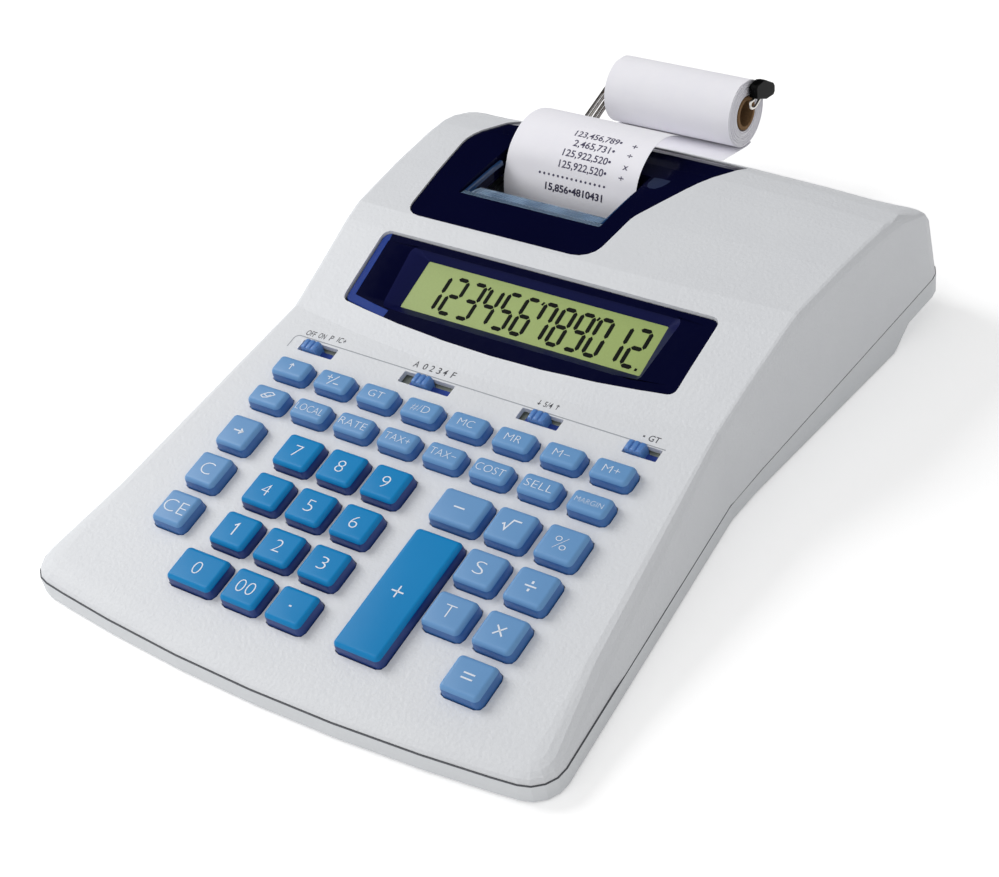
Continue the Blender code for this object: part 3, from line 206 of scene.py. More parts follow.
def drawn_wire():
    """Spring steel drawn through a die and nickel plated: bright, with fine lines along the wire."""
    made, tree, shader = new_material("nickel_plated_spring_wire", Metallic=1.0)
    place = object_place(tree)
    # the die's lines are 0.05 mm apart and are drawn coarser, to show
    line_pitch = 0.4
    lines = add_node(tree, "ShaderNodeTexNoise", Vector=place, Scale=1 / (line_pitch * mm), Detail=1.0)
    tint = add_node(tree, "ShaderNodeMix", colour_mix, _0=lines.outputs["Fac"], _6="#B4B0AA", _7="#8B8782")
    gloss = add_node(tree, "ShaderNodeMapRange", Value=lines.outputs["Fac"], To_Min=0.16, To_Max=0.34)
    tree.links.new(tint.outputs[2], shader.inputs["Base Color"])
    tree.links.new(gloss.outputs["Result"], shader.inputs["Roughness"])
    return made


def display_panel():
    """Liquid-crystal panel: glass over a green reflector, with a satin polariser."""
    made, tree, shader = new_material("laminated_lcd_glass", Roughness=0.32, IOR=1.5, Coat_Weight=0.25,
                                      Coat_Roughness=0.08)
    place = object_place(tree)
    # the reflector's grain is 0.1 mm and is drawn coarser, to show
    reflector_grain = 0.6
    grain = add_node(tree, "ShaderNodeTexNoise", Vector=place, Scale=1 / (reflector_grain * mm), Detail=2.0)
    tint = add_node(tree, "ShaderNodeMix", colour_mix, _0=grain.outputs["Fac"], _6="#A6BA6E", _7="#9CAF65")
    tree.links.new(tint.outputs[2], shader.inputs["Base Color"])
    return made


def till_paper(name, colour, shade):
    """Uncoated bond paper: matt, faintly cloudy, with a surface of short fibres."""
    made, tree, shader = new_material(name, Roughness=0.92, Specular_IOR_Level=0.2)
    place = object_place(tree)
    cloud_size = 7
    cloud = add_node(tree, "ShaderNodeTexNoise", Vector=place, Scale=1 / (cloud_size * mm), Detail=4.0)
    # fibres are 0.03 mm thick and are drawn coarser, to show
    fibre_size = 0.35
    fibre = add_node(tree, "ShaderNodeTexNoise", Vector=place, Scale=1 / (fibre_size * mm), Detail=3.0)
    tint = add_node(tree, "ShaderNodeMix", colour_mix, _0=cloud.outputs["Fac"], _6=colour, _7=shade)
    bump = add_node(tree, "ShaderNodeBump", Height=fibre.outputs["Fac"], Distance=0.04 * mm, Strength=0.5)
    tree.links.new(tint.outputs[2], shader.inputs["Base Color"])
    tree.links.new(bump.outputs["Normal"], shader.inputs["Normal"])
    return made


def wound_card():
    """Grey-brown chipboard, spiral wound into a tube: fibrous, with flecks."""
    made, tree, shader = new_material("spiral_wound_chipboard", Roughness=0.9, Specular_IOR_Level=0.2)
    place = object_place(tree)
    fleck_size = 0.9
    fleck = add_node(tree, "ShaderNodeTexNoise", Vector=place, Scale=1 / (fleck_size * mm), Detail=5.0,
                     Roughness=0.7)
    tint = add_node(tree, "ShaderNodeMix", colour_mix, _0=fleck.outputs["Fac"], _6="#9C7C58", _7="#6E5238")
    bump = add_node(tree, "ShaderNodeBump", Height=fleck.outputs["Fac"], Distance=0.12 * mm, Strength=0.6)
    tree.links.new(tint.outputs[2], shader.inputs["Base Color"])
    tree.links.new(bump.outputs["Normal"], shader.inputs["Normal"])
    return made


def clear_styrene():
    """Polystyrene, moulded clear with a light blue tint and fine ribs that catch the light."""
    made, tree, shader = new_material("moulded_clear_polystyrene", Base_Color="#A9C6E2", Roughness=0.12,
                                      IOR=1.59, Transmission_Weight=0.8)
    place = object_place(tree)
    # the ribs are as far apart as the teeth; Blender's waves turn 20 radians a unit
    rib_pitch = 1.4
    ribs = add_node(tree, "ShaderNodeTexWave", {"bands_direction": "X"}, Vector=place,
                    Scale=1 / (20 * rib_pitch * mm) * pi * 2)
    bump = add_node(tree, "ShaderNodeBump", Height=ribs.outputs["Fac"], Distance=0.25 * mm, Strength=0.5)
    tree.links.new(bump.outputs["Normal"], shader.inputs["Normal"])
    return made


wire_nickel = drawn_wire()
# Nickel plate kept bright, as on the hook: clean sharp highlights
wire_bright = grained("bright_nickel_plate", "#DAD7D2", "#C9C6C0", 0.2, 0.5, 0.0, Metallic=1.0)
lcd_glass = display_panel()
strip_paper = till_paper("uncoated_bond_paper", "#FBFAFF", "#F5F4FB")
roll_paper = till_paper("wound_bond_paper", "#FBFAFE", "#F4F3FA")
core_card = wound_card()
tear_styrene = clear_styrene()
# the same polystyrene in the arms, drawn opaque dark blue: painted shade for the little light that comes back
# over the dark well
tear_arm_painted_shade = grained("clear_polystyrene_arm_painted_shade", "#1C3A63", "#23446F", 0.1, 2.0, 0.01, IOR=1.59)
# Liquid crystal that is switched on: black with no shine, behind its glass
lcd_black = grained("lcd_segment", "#0A0D07", "#0E110B", 0.6, 0.5, 0.0, Specular_IOR_Level=0.1)
# Ribbon ink, struck into the paper: greyish violet, and darker where it is struck twice
print_ink = grained("ribbon_ink", "#454158", "#56516B", 0.85, 0.5, 0.0)
print_ink_bold = grained("ribbon_ink_double_strike", "#2A2740", "#35314C", 0.85, 0.5, 0.0)


# Making meshes
weld_distance = 0.002
capital_share = 0.69  # of the font's size


def add_piece(name, bm, body, finishes, replaced=(), sharp=35, smooth=True):
    """Weld a mesh, give it its finishes and let it ride on a body."""
    bmesh.ops.remove_doubles(bm, verts=bm.verts, dist=weld_distance * mm)
    mesh = bpy.data.meshes.new(name)
    bm.to_mesh(mesh)
    bm.free()
    if smooth:
        mesh.shade_smooth()
        mesh.set_sharp_from_angle(angle=radians(sharp))
    for finish in finishes:
        mesh.materials.append(finish)
    made = bpy.data.objects.new(name, mesh)
    bpy.context.scene.collection.objects.link(made)
    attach(made, body)
    if replaced:
        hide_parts(*replaced)


def skin(bm, loops, cap_first=False, cap_last=False, finish=None):
    """Skin matching loops of points; finish gives a face's material from its loop and place in it."""
    rings = [[bm.verts.new(point) for point in loop] for loop in loops]
    count = len(rings[0])
    for level, (low, high) in enumerate(zip(rings, rings[1:])):
        for i in range(count):
            j = (i + 1) % count
            face = bm.faces.new((low[i], low[j], high[j], high[i]))
            if finish:
                face.material_index = finish(level, i)
    if cap_first:
        bm.faces.new(list(reversed(rings[0])))
    if cap_last:
        bm.faces.new(rings[-1])


def rounded(width, depth, radius, steps=4, middle=(0, 0)):
    """Points round a rectangle with round corners."""
    points = []
    for quarter, (sx, sy) in enumerate(((1, 1), (-1, 1), (-1, -1), (1, -1))):
        cx, cy = middle[0] + sx * (width / 2 - radius), middle[1] + sy * (depth / 2 - radius)
        for step in range(steps + 1):
            angle = (quarter + step / steps) * pi / 2
            points.append((cx + radius * cos(angle), cy + radius * sin(angle)))
    return points


def lettering(text, height, place, spread=1.0, weight=0.0, middle=(0.5, 0.5)):
    """A flat mesh of text set by place(x, y); height is that of a capital, spread stretches its width."""
    curve = bpy.data.curves.new("lettering", "FONT")
    curve.body = text
    curve.offset = weight
    curve.resolution_u = 4
    holder = bpy.data.objects.new("lettering", curve)
    bpy.context.scene.collection.objects.link(holder)
    bpy.context.view_layer.update()
    mesh = bpy.data.meshes.new_from_object(holder.evaluated_get(bpy.context.evaluated_depsgraph_get()))
    bm = bmesh.new()
    bm.from_mesh(mesh)
    bpy.data.objects.remove(holder)
    bpy.data.curves.remove(curve)
    bpy.data.meshes.remove(mesh)
    scale = height / capital_share
    low_x, high_x = min(v.co.x for v in bm.verts), max(v.co.x for v in bm.verts)
    for vert in bm.verts:
        x = (vert.co.x - mix(low_x, high_x, middle[0])) * scale * spread
        vert.co = place(x, vert.co.y * scale - height * middle[1])
    return bm


def stretched(text, height, width, place, weight):
    """Text drawn out or drawn in to a width."""
    trial = lettering(text, height, place, weight=weight)
    span = max(vert.co.x for vert in trial.verts) - min(vert.co.x for vert in trial.verts)
    trial.free()
    return lettering(text, height, place, spread=width * mm / span, weight=weight)


def stroke(bm, points, width, place):
    """A flat line of even width along points in the plane of place(x, y)."""
    least_cosine = 0.4  # keeps a sharp corner from running out to a long point
    points = [Vector(point) for point in points]
    left, right_side = [], []
    for i, point in enumerate(points):
        back = point - points[max(i - 1, 0)]
        ahead = points[min(i + 1, len(points) - 1)] - point
        bends = back.length and ahead.length
        along = (back.normalized() + ahead.normalized() if bends else back + ahead).normalized()
        across = Vector((-along.y, along.x))
        if bends:
            leg = ahead.normalized()
            across /= max(least_cosine, across.dot(Vector((-leg.y, leg.x))))
        left.append(point + across * width / 2)
        right_side.append(point - across * width / 2)
    for i in range(len(points) - 1):
        quad = (right_side[i], right_side[i + 1], left[i + 1], left[i])
        bm.faces.new([bm.verts.new(place(*corner)) for corner in quad])


def join_into(target, source):
    """Take the faces of source into target."""
    mesh = bpy.data.meshes.new("joined")
    source.to_mesh(mesh)
    source.free()
    target.from_mesh(mesh)
    bpy.data.meshes.remove(mesh)


# Key caps
small_pitch, middle_column = 19.0, 3.5
columns = {"clear": -66.5, "digit": (-40.15, -21.3, -2.45), "plus": 27.6, "root": 47.4, "percent": 66.5}
row_small, row_c, row_d, row_e, row_f = -14.1, -31.4, -49.25, -67.1, -84.95
small_width, small_depth = 12.8, 6.6
clear_width, main_width, wide_width, zero_width = 11.6, 13.0, 16.6, 17.2
main_depth, plus_depth = 11.6, 47.3
zero_shift = 2.1
margin_height, small_height, main_height, clear_height = 2.0, 3.0, 5.0, 5.2
legend_widths = {
    "GT": 6.2, "#/D": 7.4, "MC": 6.2, "MR": 6.2, "M−": 6.2, "M+": 6.2, "LOCAL": 11.6, "RATE": 11.2,
    "TAX+": 10.4, "TAX−": 10.4, "COST": 11.2, "SELL": 10.6, "MARGIN": 10.4, "C": 4.8, "CE": 9.6,
    "S": 3.8, "T": 4.0, "%": 5.2, "0": 3.3, "00": 7.2,
}
legend_widths.update({digit: 3.2 for digit in "23456789"})

# name, u, v, width, depth, legend, height of its capitals, light or digit; "" is a legend drawn in strokes
keys = []
for v, names, legends in (
    (0, ("up", "sign", "grand_total", "number_date", "mc", "mr", "m_minus", "m_plus"),
     ("", "", "GT", "#/D", "MC", "MR", "M−", "M+")),
    (row_small, ("feed", "local", "rate", "tax_plus", "tax_minus", "cost", "sell", "margin"),
     ("", "LOCAL", "RATE", "TAX+", "TAX−", "COST", "SELL", "MARGIN")),
):
    for i, (name, legend) in enumerate(zip(names, legends)):
        height = margin_height if legend == "MARGIN" else small_height
        keys.append((name, (i - middle_column) * small_pitch, v, small_width, small_depth, legend, height,
                     "light"))
for name, v, legend in (("shift", row_c, ""), ("clear", row_d, "C"), ("clear_entry", row_e, "CE")):
    keys.append((name, columns["clear"], v, clear_width, main_depth, legend, clear_height, "light"))
for v, names in ((row_c, "789"), (row_d, "456"), (row_e, "123")):
    for u, name in zip(columns["digit"], names):
        legend = "" if name == "1" else name
        keys.append((name, u, v, main_width, main_depth, legend, main_height, "digit"))
zero_u, double_zero_u, point_u = columns["digit"]
keys.append(("0", zero_u - zero_shift, row_f, zero_width, main_depth, "0", main_height, "digit"))
keys.append(("00", double_zero_u, row_f, main_width, main_depth, "00", main_height, "digit"))
keys.append(("point", point_u, row_f, main_width, main_depth, "", main_height, "digit"))
keys.append(("minus", columns["plus"], row_c, wide_width, main_depth, "", main_height, "light"))
plus_v = (row_d + row_f) / 2
keys.append(("plus", columns["plus"], plus_v, wide_width, plus_depth, "", main_height, "digit"))
for u, names, legends in ((columns["root"], ("root", "subtotal", "total"), ("", "S", "T")),
                          (columns["percent"], ("percent", "divide", "times", "equals"), ("%", "", "", ""))):
    for v, name, legend in zip((row_c, row_d, row_e, row_f), names, legends):
        keys.append((name, u, v, main_width, main_depth, legend, main_height, "light"))

cap_corner, tightest = 1.0, -0.5
skirt_levels = 3
legend_lift, legend_weight = 0.02, -0.02
small_line, main_line, dot_line, dot_reach = 0.36, 0.55, 1.0, 0.5
# height over the key top and growth of the plan outline, from the skirt to the rounded edge of the top
cap_section = ((-9.3, 1.18), (-4.4, 1.16), (-2.1, 0.98), (-1.35, 0.84), (-0.95, 0.66), (-0.55, 0.34),
               (-0.25, 0.06), (-0.08, -0.28), (-0.02, -0.7))
# legends drawn in strokes, from the middle of the key
drawn_symbols = {
    "1": [[(-0.9, 1.4), (0.3, 2.4), (0.3, -2.4)]],
    "up": [[(0, -1.3), (0, 1.3)], [(-0.9, 0.5), (0, 1.4), (0.9, 0.5)]],
    "sign": [[(-2.9, 0.9), (-0.7, 0.9)], [(-1.8, -0.2), (-1.8, 2.0)], [(-1.3, -2.2), (1.5, 2.2)],
             [(0.9, -1.3), (3.1, -1.3)]],
    "feed": [[(-2.6, -0.9), (-1.2, -1.5), (0.6, -0.9), (2.6, 0.9), (1.2, 1.5), (-0.4, 1.0), (-2.6, -0.9)],
             [(-1.4, -0.2), (0.2, -0.6), (1.3, 0.4)]],
    "shift": [[(-1.9, 0), (1.9, 0)], [(0.7, -1.1), (2.0, 0), (0.7, 1.1)]],
    "point": [[(-0.5, -0.3), (0.5, -0.3)]],
    "minus": [[(-2.1, 0), (2.1, 0)]],
    "plus": [[(-2.3, 0), (2.3, 0)], [(0, -2.3), (0, 2.3)]],
    "root": [[(-2.9, -0.3), (-2.2, 0.2), (-1.1, -2.1), (0.2, 2.2), (3.2, 2.2)]],
    "divide": [[(-2.1, 0), (2.1, 0)], [(-0.4, 1.5), (0.4, 1.5)], [(-0.4, -1.5), (0.4, -1.5)]],
    "times": [[(-1.7, -1.7), (1.7, 1.7)], [(-1.7, 1.7), (1.7, -1.7)]],
    "equals": [[(-2.1, 0.9), (2.1, 0.9)], [(-2.1, -0.9), (2.1, -0.9)]],
}


def key_cap(name, u, v, width, depth, legend, height, kind):
    """A cap with a softly rounded top edge over a skirt in painted shade, and its printed legend."""
    bm = bmesh.new()
    loops = []
    for w, grow in cap_section:
        radius = cap_corner + max(grow, tightest)
        plan = rounded(width + 2 * grow, depth + 2 * grow, radius, steps=5)
        loops.append([on_keyboard(u + x, v + y, w) for x, y in plan])
    # the skirt, below the rounded top edge, takes the darker painted shade
    skin(bm, loops, cap_first=True, cap_last=True, finish=lambda level, i: 1 if level < skirt_levels else 0)
    bm.faces.ensure_lookup_table()
    bm.faces[-1].material_index = 0
    bm.faces[-2].material_index = 1
    finishes = (key_light_abs, key_light_skirt_painted_shade) if kind == "light" else (key_digit_abs, key_digit_skirt_painted_shade)
    add_piece("cap_" + name, bm, "key_" + name, finishes, ("key_" + name,), sharp=60)

    def place(x, y):
        return on_keyboard(u + x, v + y, legend_lift)
    if legend:
        print_bm = stretched(legend, height, legend_widths[legend], place, legend_weight)
    else:
        print_bm = bmesh.new()
        line_width = small_line if depth == small_depth else main_line
        for line in drawn_symbols[name]:
            (start_x, start_y), (_, end_y) = line[0], line[-1]
            is_dot = start_y == end_y and abs(start_x) < dot_reach
            stroke(print_bm, line, dot_line if is_dot else line_width, place)
    add_piece("legend_" + name, print_bm, "key_" + name, (ink_white,), smooth=False)


for key in keys:
    key_cap(*key)

# Switches: a ribbed knob on a darker slider plate, over an enamelled bed in the slot
switch_v = 13.2
# name, both ends of the slot and the knob's place at rest
switches = (("power", -73.8, -58.2, -68.6), ("decimal", -28.5, -7.0, -19.3),
            ("rounding", 21.0, 37.4, 29.1), ("total", 62.5, 75.4, 66.8))
knob_section = ((-3.3, -8.4), (3.3, -8.4), (3.3, -3.4), (3.0, -2.7), (2.3, -2.42), (1.6, -2.5),
                (1.3, -2.95), (0.95, -2.95), (0.65, -2.5), (0.0, -2.4), (-0.65, -2.5), (-0.95, -2.95),
                (-1.3, -2.95), (-1.6, -2.5), (-2.3, -2.42), (-3.0, -2.7), (-3.3, -3.4))
knob_slices = ((-2.08, 0.35), (-1.85, 0.1), (-1.5, 0.0), (1.5, 0.0), (1.85, 0.1), (2.08, 0.35))
knob_shoulder, knob_taper = -3.5, 0.12
slider_width, slider_depth, slider_corner, slider_middle = 17.0, 4.0, 0.8, (2.5, -0.9)
slider_section = ((-7.6, 0), (-6.9, 0), (-6.75, 0.2))
bed_margin, bed_depth, bed_corner, bed_heights = 9, 7.5, 1.0, (-8.7, -8.1)
for name, low, high, rest in switches:
    bm = bmesh.new()
    loops = []
    for y, cut in knob_slices:
        loops.append([on_keyboard(rest + x * (1 - cut * knob_taper), switch_v + y,
                                  w - (cut if w > knob_shoulder else 0)) for x, w in knob_section])
    skin(bm, loops, cap_first=True, cap_last=True)
    bmesh.ops.recalc_face_normals(bm, faces=bm.faces)
    add_piece("knob_" + name, bm, "switch_" + name, (switch_abs,), ("switch_" + name,),
              sharp=40)
    bm = bmesh.new()
    loops = []
    for w, cut in slider_section:
        plan = rounded(slider_width - 2 * cut, slider_depth - 2 * cut, slider_corner, middle=slider_middle)
        loops.append([on_keyboard(rest + x, switch_v + y, w) for x, y in plan])
    skin(bm, loops, cap_first=True, cap_last=True)
    add_piece("slider_" + name, bm, "switch_" + name, (switch_plate_abs,))
    bm = bmesh.new()
    plan = rounded(high - low + bed_margin, bed_depth, bed_corner)
    loops = [[on_keyboard((low + high) / 2 + x, switch_v + y, w) for x, y in plan] for w in bed_heights]
    skin(bm, loops, cap_first=True, cap_last=True)
    add_piece("switch_bed_" + name, bm, "case", (bed_paint,))


# Printing and groove on the case
print_lift = 0.03


def on_panel(u0, v0):
    """Places on the case under the keys, for a label with its middle at u0, v0."""
    return lambda x, y: on_keyboard(u0 + x, v0 + y, -panel_drop + print_lift)


label_weight = 0.004
arrow_half, arrow_barb, arrow_bend, arrow_line = 1.0, 0.55, 0.4, 0.28
dot_half = 0.35
labels = bmesh.new()
for text, left, right_end, v, height in (
    ("OFF", -75.2, -71.2, 19.0, 2.4), ("ON", -69.8, -66.8, 19.3, 2.4), ("P", -64.9, -63.5, 19.6, 2.4),
    ("IC+", -61.6, -57.9, 19.9, 2.4), ("A", -27.2, -25.2, 19.8, 2.7), ("0", -23.3, -21.7, 19.8, 2.7),
    ("2", -20.4, -18.8, 19.8, 2.7), ("3", -17.4, -15.8, 19.8, 2.7), ("4", -14.8, -13.2, 19.8, 2.7),
    ("F", -11.2, -9.7, 19.8, 2.7), ("5/4", 27.2, 30.4, 19.6, 2.3), ("GT", 68.3, 72.4, 19.0, 2.4),
):
    place = on_panel((left + right_end) / 2, v)
    join_into(labels, stretched(text, height, right_end - left, place, label_weight))
for u, way in ((25.3, -1), (32.3, 1)):
    place = on_panel(u, 19.7)
    stroke(labels, [(0, -arrow_half), (0, arrow_half)], arrow_line, place)
    stroke(labels, [(-arrow_barb, arrow_bend * way), (0, arrow_half * way), (arrow_barb, arrow_bend * way)],
           arrow_line, place)
stroke(labels, [(-dot_half, 0), (dot_half, 0)], 2 * dot_half, on_panel(66.4, 19.0))
add_piece("case_labels", labels, "case", (ink_grey,), smooth=False)

groove = bmesh.new()
groove_start, groove_turn = (-78.4, 10.9), (-78.4, 14.4)
bend_middle, bend_radius, bend_steps = (-76.4, 14.8), 2.0, 6
back_left, back_right, back_steps = (-74, 16.8), (76.1, 16.2), 12
groove_width = 0.42
path = [groove_start, groove_turn]
for step in range(bend_steps + 1):
    angle = step / bend_steps * pi / 2
    path.append((bend_middle[0] - bend_radius * cos(angle), bend_middle[1] + bend_radius * sin(angle)))
for step in range(back_steps + 1):
    share = step / back_steps
    path.append((mix(back_left[0], back_right[0], share), mix(back_left[1], back_right[1], share)))
stroke(groove, path, groove_width, on_panel(0, 0))
add_piece("panel_groove", groove, "case", (groove_shade,), smooth=False)

# Display window: a tinted frame that funnels down to the display
window_x, window_front, window_back = -1.8, 36.8, 67.0
front_half, back_half, window_bow, window_corner = 69.3, 70.4, 5.6, 3.0


def four_sided(front, back, low_half, high_half, bow, radius, middle, inset=0.0):
    """Matching outlines with 17 points on the front and back edges and rounded corners."""
    edge_steps, corner_steps, least_corner = 8, 4, 0.3
    front += inset
    back -= inset
    low_half -= inset
    high_half -= inset
    radius = max(radius - inset, least_corner)
    shares = [s / edge_steps for s in range(edge_steps + 1)]
    half = [(share * (low_half - radius), front - bow * (1 - share ** 2)) for share in shares]
    for step in range(1, corner_steps + 1):
        angle = -pi / 2 + step / corner_steps * pi / 2
        half.append((low_half - radius + radius * cos(angle), front + radius + radius * sin(angle)))
    for step in range(corner_steps + 1):
        angle = step / corner_steps * pi / 2
        half.append((high_half - radius + radius * cos(angle), back - radius + radius * sin(angle)))
    half += [((high_half - radius) * share, back) for share in reversed(shares[:-1])]
    points = half + [(-x, y) for x, y in reversed(half[1:-1])]
    return [(x + middle, y) for x, y in points]


rim_insets = (0.05, 0.05, 0.35, 3.2)
outer = [four_sided(window_front, window_back, front_half, back_half, window_bow, window_corner, window_x,
                    inset) for inset in rim_insets]
# front and back, half width at each, bow, corner and middle
funnel_top = four_sided(38.2, 64.6, 54.2, 56.6, 0.0, 3.0, -1.0)
funnel_mid = four_sided(40.0, 63.2, 52.2, 53.6, 0.0, 1.6, -0.4)
funnel_low = four_sided(41.9, 61.9, 50.3, 50.4, 0.0, 0.5, 0.0)
# heights square to the display's slope
frame_foot, frame_edge, frame_round, frame_lift = -3.7, -0.75, -0.45, -0.42
funnel_bend, funnel_foot, glass_gap = -2.0, 0.1, 0.02
levels = [(outer[0], frame_foot), (outer[1], frame_edge), (outer[2], frame_round), (outer[3], frame_lift),
          (funnel_top, frame_lift), (funnel_mid, funnel_bend), (funnel_low, funnel_foot - display_drop),
          (funnel_low, glass_gap - display_drop)]
funnel_level, rim_levels, left_end = 4, (1, 2), range(33, 44)


def window_finish(level, i):
    """Eroded sides in the funnel, and the painted highlight along the frame's left end."""
    if level >= funnel_level:
        return 2
    return 1 if level in rim_levels and i in left_end else 0


window = bmesh.new()
skin(window, [[on_display(x, y, lift) for x, y in outline] for outline, lift in levels], finish=window_finish)
add_piece("window_frame", window, "case", (smoked_pc, rim_pc_painted_highlight, funnel_pc),
          ("display_window",), sharp=28)

# Seven-segment digits, drawn as the mitred bars of the display
segment_places = {
    "a": ((0, 1), (1, 1)), "b": ((1, 0.5), (1, 1)), "c": ((1, 0), (1, 0.5)), "d": ((0, 0), (1, 0)),
    "e": ((0, 0), (0, 0.5)), "f": ((0, 0.5), (0, 1)), "g": ((0, 0.5), (1, 0.5)),
}
digit_segments = {"0": "abcdef", "1": "bc", "2": "abged", "3": "abgcd", "4": "fgbc", "5": "afgcd",
                  "6": "afgedc", "7": "fabc", "8": "abcdefg", "9": "abcdfg"}
shown_digits = "123456789012"
first_digit, digit_pitch, digit_foot = -42.6, 7.64, 44.1
commas_after, point_after = (2, 5, 8), 11
bar_gap = 0.22
digit_width, digit_depth, bar = 4.8, 14.2, 1.6
comma_line, point_line = 0.9, 1.0
comma = [(digit_width + 1.7, digit_depth + 0.2), (digit_width + 1.2, digit_depth - 1.2)]
decimal_point = [(digit_width + 1.0, -0.3), (digit_width + 2.0, -0.3)]
lcd_lift = -display_drop + 0.04


def on_digit(left):
    """Places on the display for a digit whose left side is there."""
    return lambda x, y: on_display(left + x, digit_foot + y, lcd_lift)


digits = bmesh.new()
for i, digit in enumerate(shown_digits):
    place = on_digit(first_digit + i * digit_pitch)
    for segment in digit_segments[digit]:
        (x0, y0), (x1, y1) = segment_places[segment]
        start = Vector((x0 * digit_width, y0 * digit_depth))
        end = Vector((x1 * digit_width, y1 * digit_depth))
        along = (end - start).normalized()
        across = Vector((-along.y, along.x)) * bar / 2
        start += along * bar_gap
        end -= along * bar_gap
        corners = (start, start + along * bar / 2 - across, end - along * bar / 2 - across, end,
                   end - along * bar / 2 + across, start + along * bar / 2 + across)
        digits.faces.new([digits.verts.new(place(*corner)) for corner in corners])
    if i in commas_after:
        stroke(digits, comma, comma_line, place)
    if i == point_after:
        stroke(digits, decimal_point, point_line, place)
for face in digits.faces:
    if face.normal.z < 0:
        face.normal_flip()
add_piece("lcd_digits", digits, "case", (lcd_black,), smooth=False)

# Paper strip: from under the roll through the rear slot, round the platen and up through the well
roll_y, roll_z, roll_radius, core_radius = 203.5, 41.0, 13.5, 6.7
platen_y, platen_z, platen_radius = 125.8, 35.6, 7.0
paper_left, paper_right = -56.9, 0.9
slot_middle, slot_height = 32.5, 3.4
paper_clearance = 0.45
# degrees from straight back, going down and on to the front: round the roll, then round the platen
roll_off_angle, web_angle = -82, -104
wrap_start, wrap_end = -84, -194
strip_reach, strip_rise = 44.7, 19.0
web_shares = ((0.148, -0.97), (0.277, -0.38), (0.405, -0.09), (0.56, -0.15), (0.74, -0.62))
strip_shares = ((-0.125, 0.526), (-0.067, 0.805), (0.002, 1.058), (0.096, 1.237), (0.233, 1.379),
                (0.376, 1.405), (0.532, 1.316), (0.662, 1.147))


def arc(middle, radius, start, end, steps):
    """Points on an arc between two angles in degrees."""
    return [Vector((middle[0] + radius * cos(radians(mix(start, end, i / steps))),
                    middle[1] + radius * sin(radians(mix(start, end, i / steps))))) for i in range(steps + 1)]


def spline(points, steps):
    """A smooth path through points."""
    path = []
    for i in range(len(points) - 1):
        p0, p1, p2 = points[max(i - 1, 0)], points[i], points[i + 1]
        p3 = points[min(i + 2, len(points) - 1)]
        for step in range(steps):
            t = step / steps
            path.append(0.5 * (2 * p1 + (p2 - p0) * t + (2 * p0 - 5 * p1 + 4 * p2 - p3) * t * t
                               + (3 * p1 - p0 - 3 * p2 + p3) * t ** 3))
    path.append(points[-1])
    return path


web = arc((roll_y, roll_z), roll_radius + paper_clearance, roll_off_angle, web_angle, 3)
web += [Vector((mix(roll_y, platen_y, share), slot_middle + slot_height * drop))
        for share, drop in web_shares]
wrap = arc((platen_y, platen_z), platen_radius + paper_clearance, wrap_start, wrap_end, 20)
curl = [Vector((platen_y + strip_reach * share_y, platen_z + strip_rise * share_z))
        for share_y, share_z in strip_shares]
behind = spline(web, 4)[:-1] + spline([web[-1], wrap[0]], 3)[1:-1] + wrap
front_sheet = spline([wrap[-1]] + curl, 8)
paper_path = behind[:-1] + front_sheet
reach = [0.0]
for a, b in zip(front_sheet, front_sheet[1:]):
    reach.append(reach[-1] + (b - a).length)


def on_strip(x, s, lift):
    """A place on the strip, s along it from where it leaves the platen, lift above its printed face."""
    i = max(j for j in range(len(reach) - 1) if reach[j] <= max(s, 0.001))
    share = (s - reach[i]) / (reach[i + 1] - reach[i])
    place = front_sheet[i].lerp(front_sheet[i + 1], share)
    along = (front_sheet[i + 1] - front_sheet[i]).normalized()
    return at(x, place.x - along.y * lift, place.y + along.x * lift)


strip = bmesh.new()
half_thickness = 0.05
tear_depth = 0.45
width_steps = 82  # two to a tooth of the tear bar
across_shares = [i / width_steps for i in range(width_steps + 1)]
sheets = [[], []]
for i, point in enumerate(paper_path):
    along = (paper_path[min(i + 1, len(paper_path) - 1)] - paper_path[max(i - 1, 0)]).normalized()
    out = Vector((-along.y, along.x))
    for side, sheet in zip((1, -1), sheets):
        edge = point + out * half_thickness * side
        sheet.append([at(mix(paper_left, paper_right, share), edge.x, edge.y) for share in across_shares])
for sheet in sheets:
    # the torn end follows the teeth of the tear bar
    step_back = (sheet[-1][0] - sheet[-2][0]).normalized() * tear_depth * mm
    sheet[-1] = [point - step_back * (i % 2) for i, point in enumerate(sheet[-1])]
loops = [top + list(reversed(low)) for top, low in zip(*sheets)]
skin(strip, loops, cap_first=True, cap_last=True)
bmesh.ops.recalc_face_normals(strip, faces=strip.faces)
add_piece("paper_sheet", strip, "case", (strip_paper,), ("paper_strip",), sharp=50)


ink_lift = 0.09
longest_edge, divisions = 0.45, 3


def print_row(bm, text, left, right_end, s, height, weight=0.014):
    """A printed row between two places across the strip, with its foot at s."""
    def flat(x, y):
        return Vector((x * mm, y * mm, 0))
    row = lettering(text, height, flat, weight=weight, middle=(0, 0))
    # long strokes are divided, so that they follow the curl of the sheet
    for _ in range(divisions):
        long_edges = [edge for edge in row.edges if edge.calc_length() > longest_edge * mm]
        bmesh.ops.subdivide_edges(row, edges=long_edges, cuts=1)
        bmesh.ops.triangulate(row, faces=[face for face in row.faces if len(face.verts) > 4])
    span = max(vert.co.x for vert in row.verts) / mm
    for vert in row.verts:
        x, y = vert.co.x / mm, vert.co.y / mm
        vert.co = on_strip(left + x * (right_end - left) / span, s + y, ink_lift)
    join_into(bm, row)


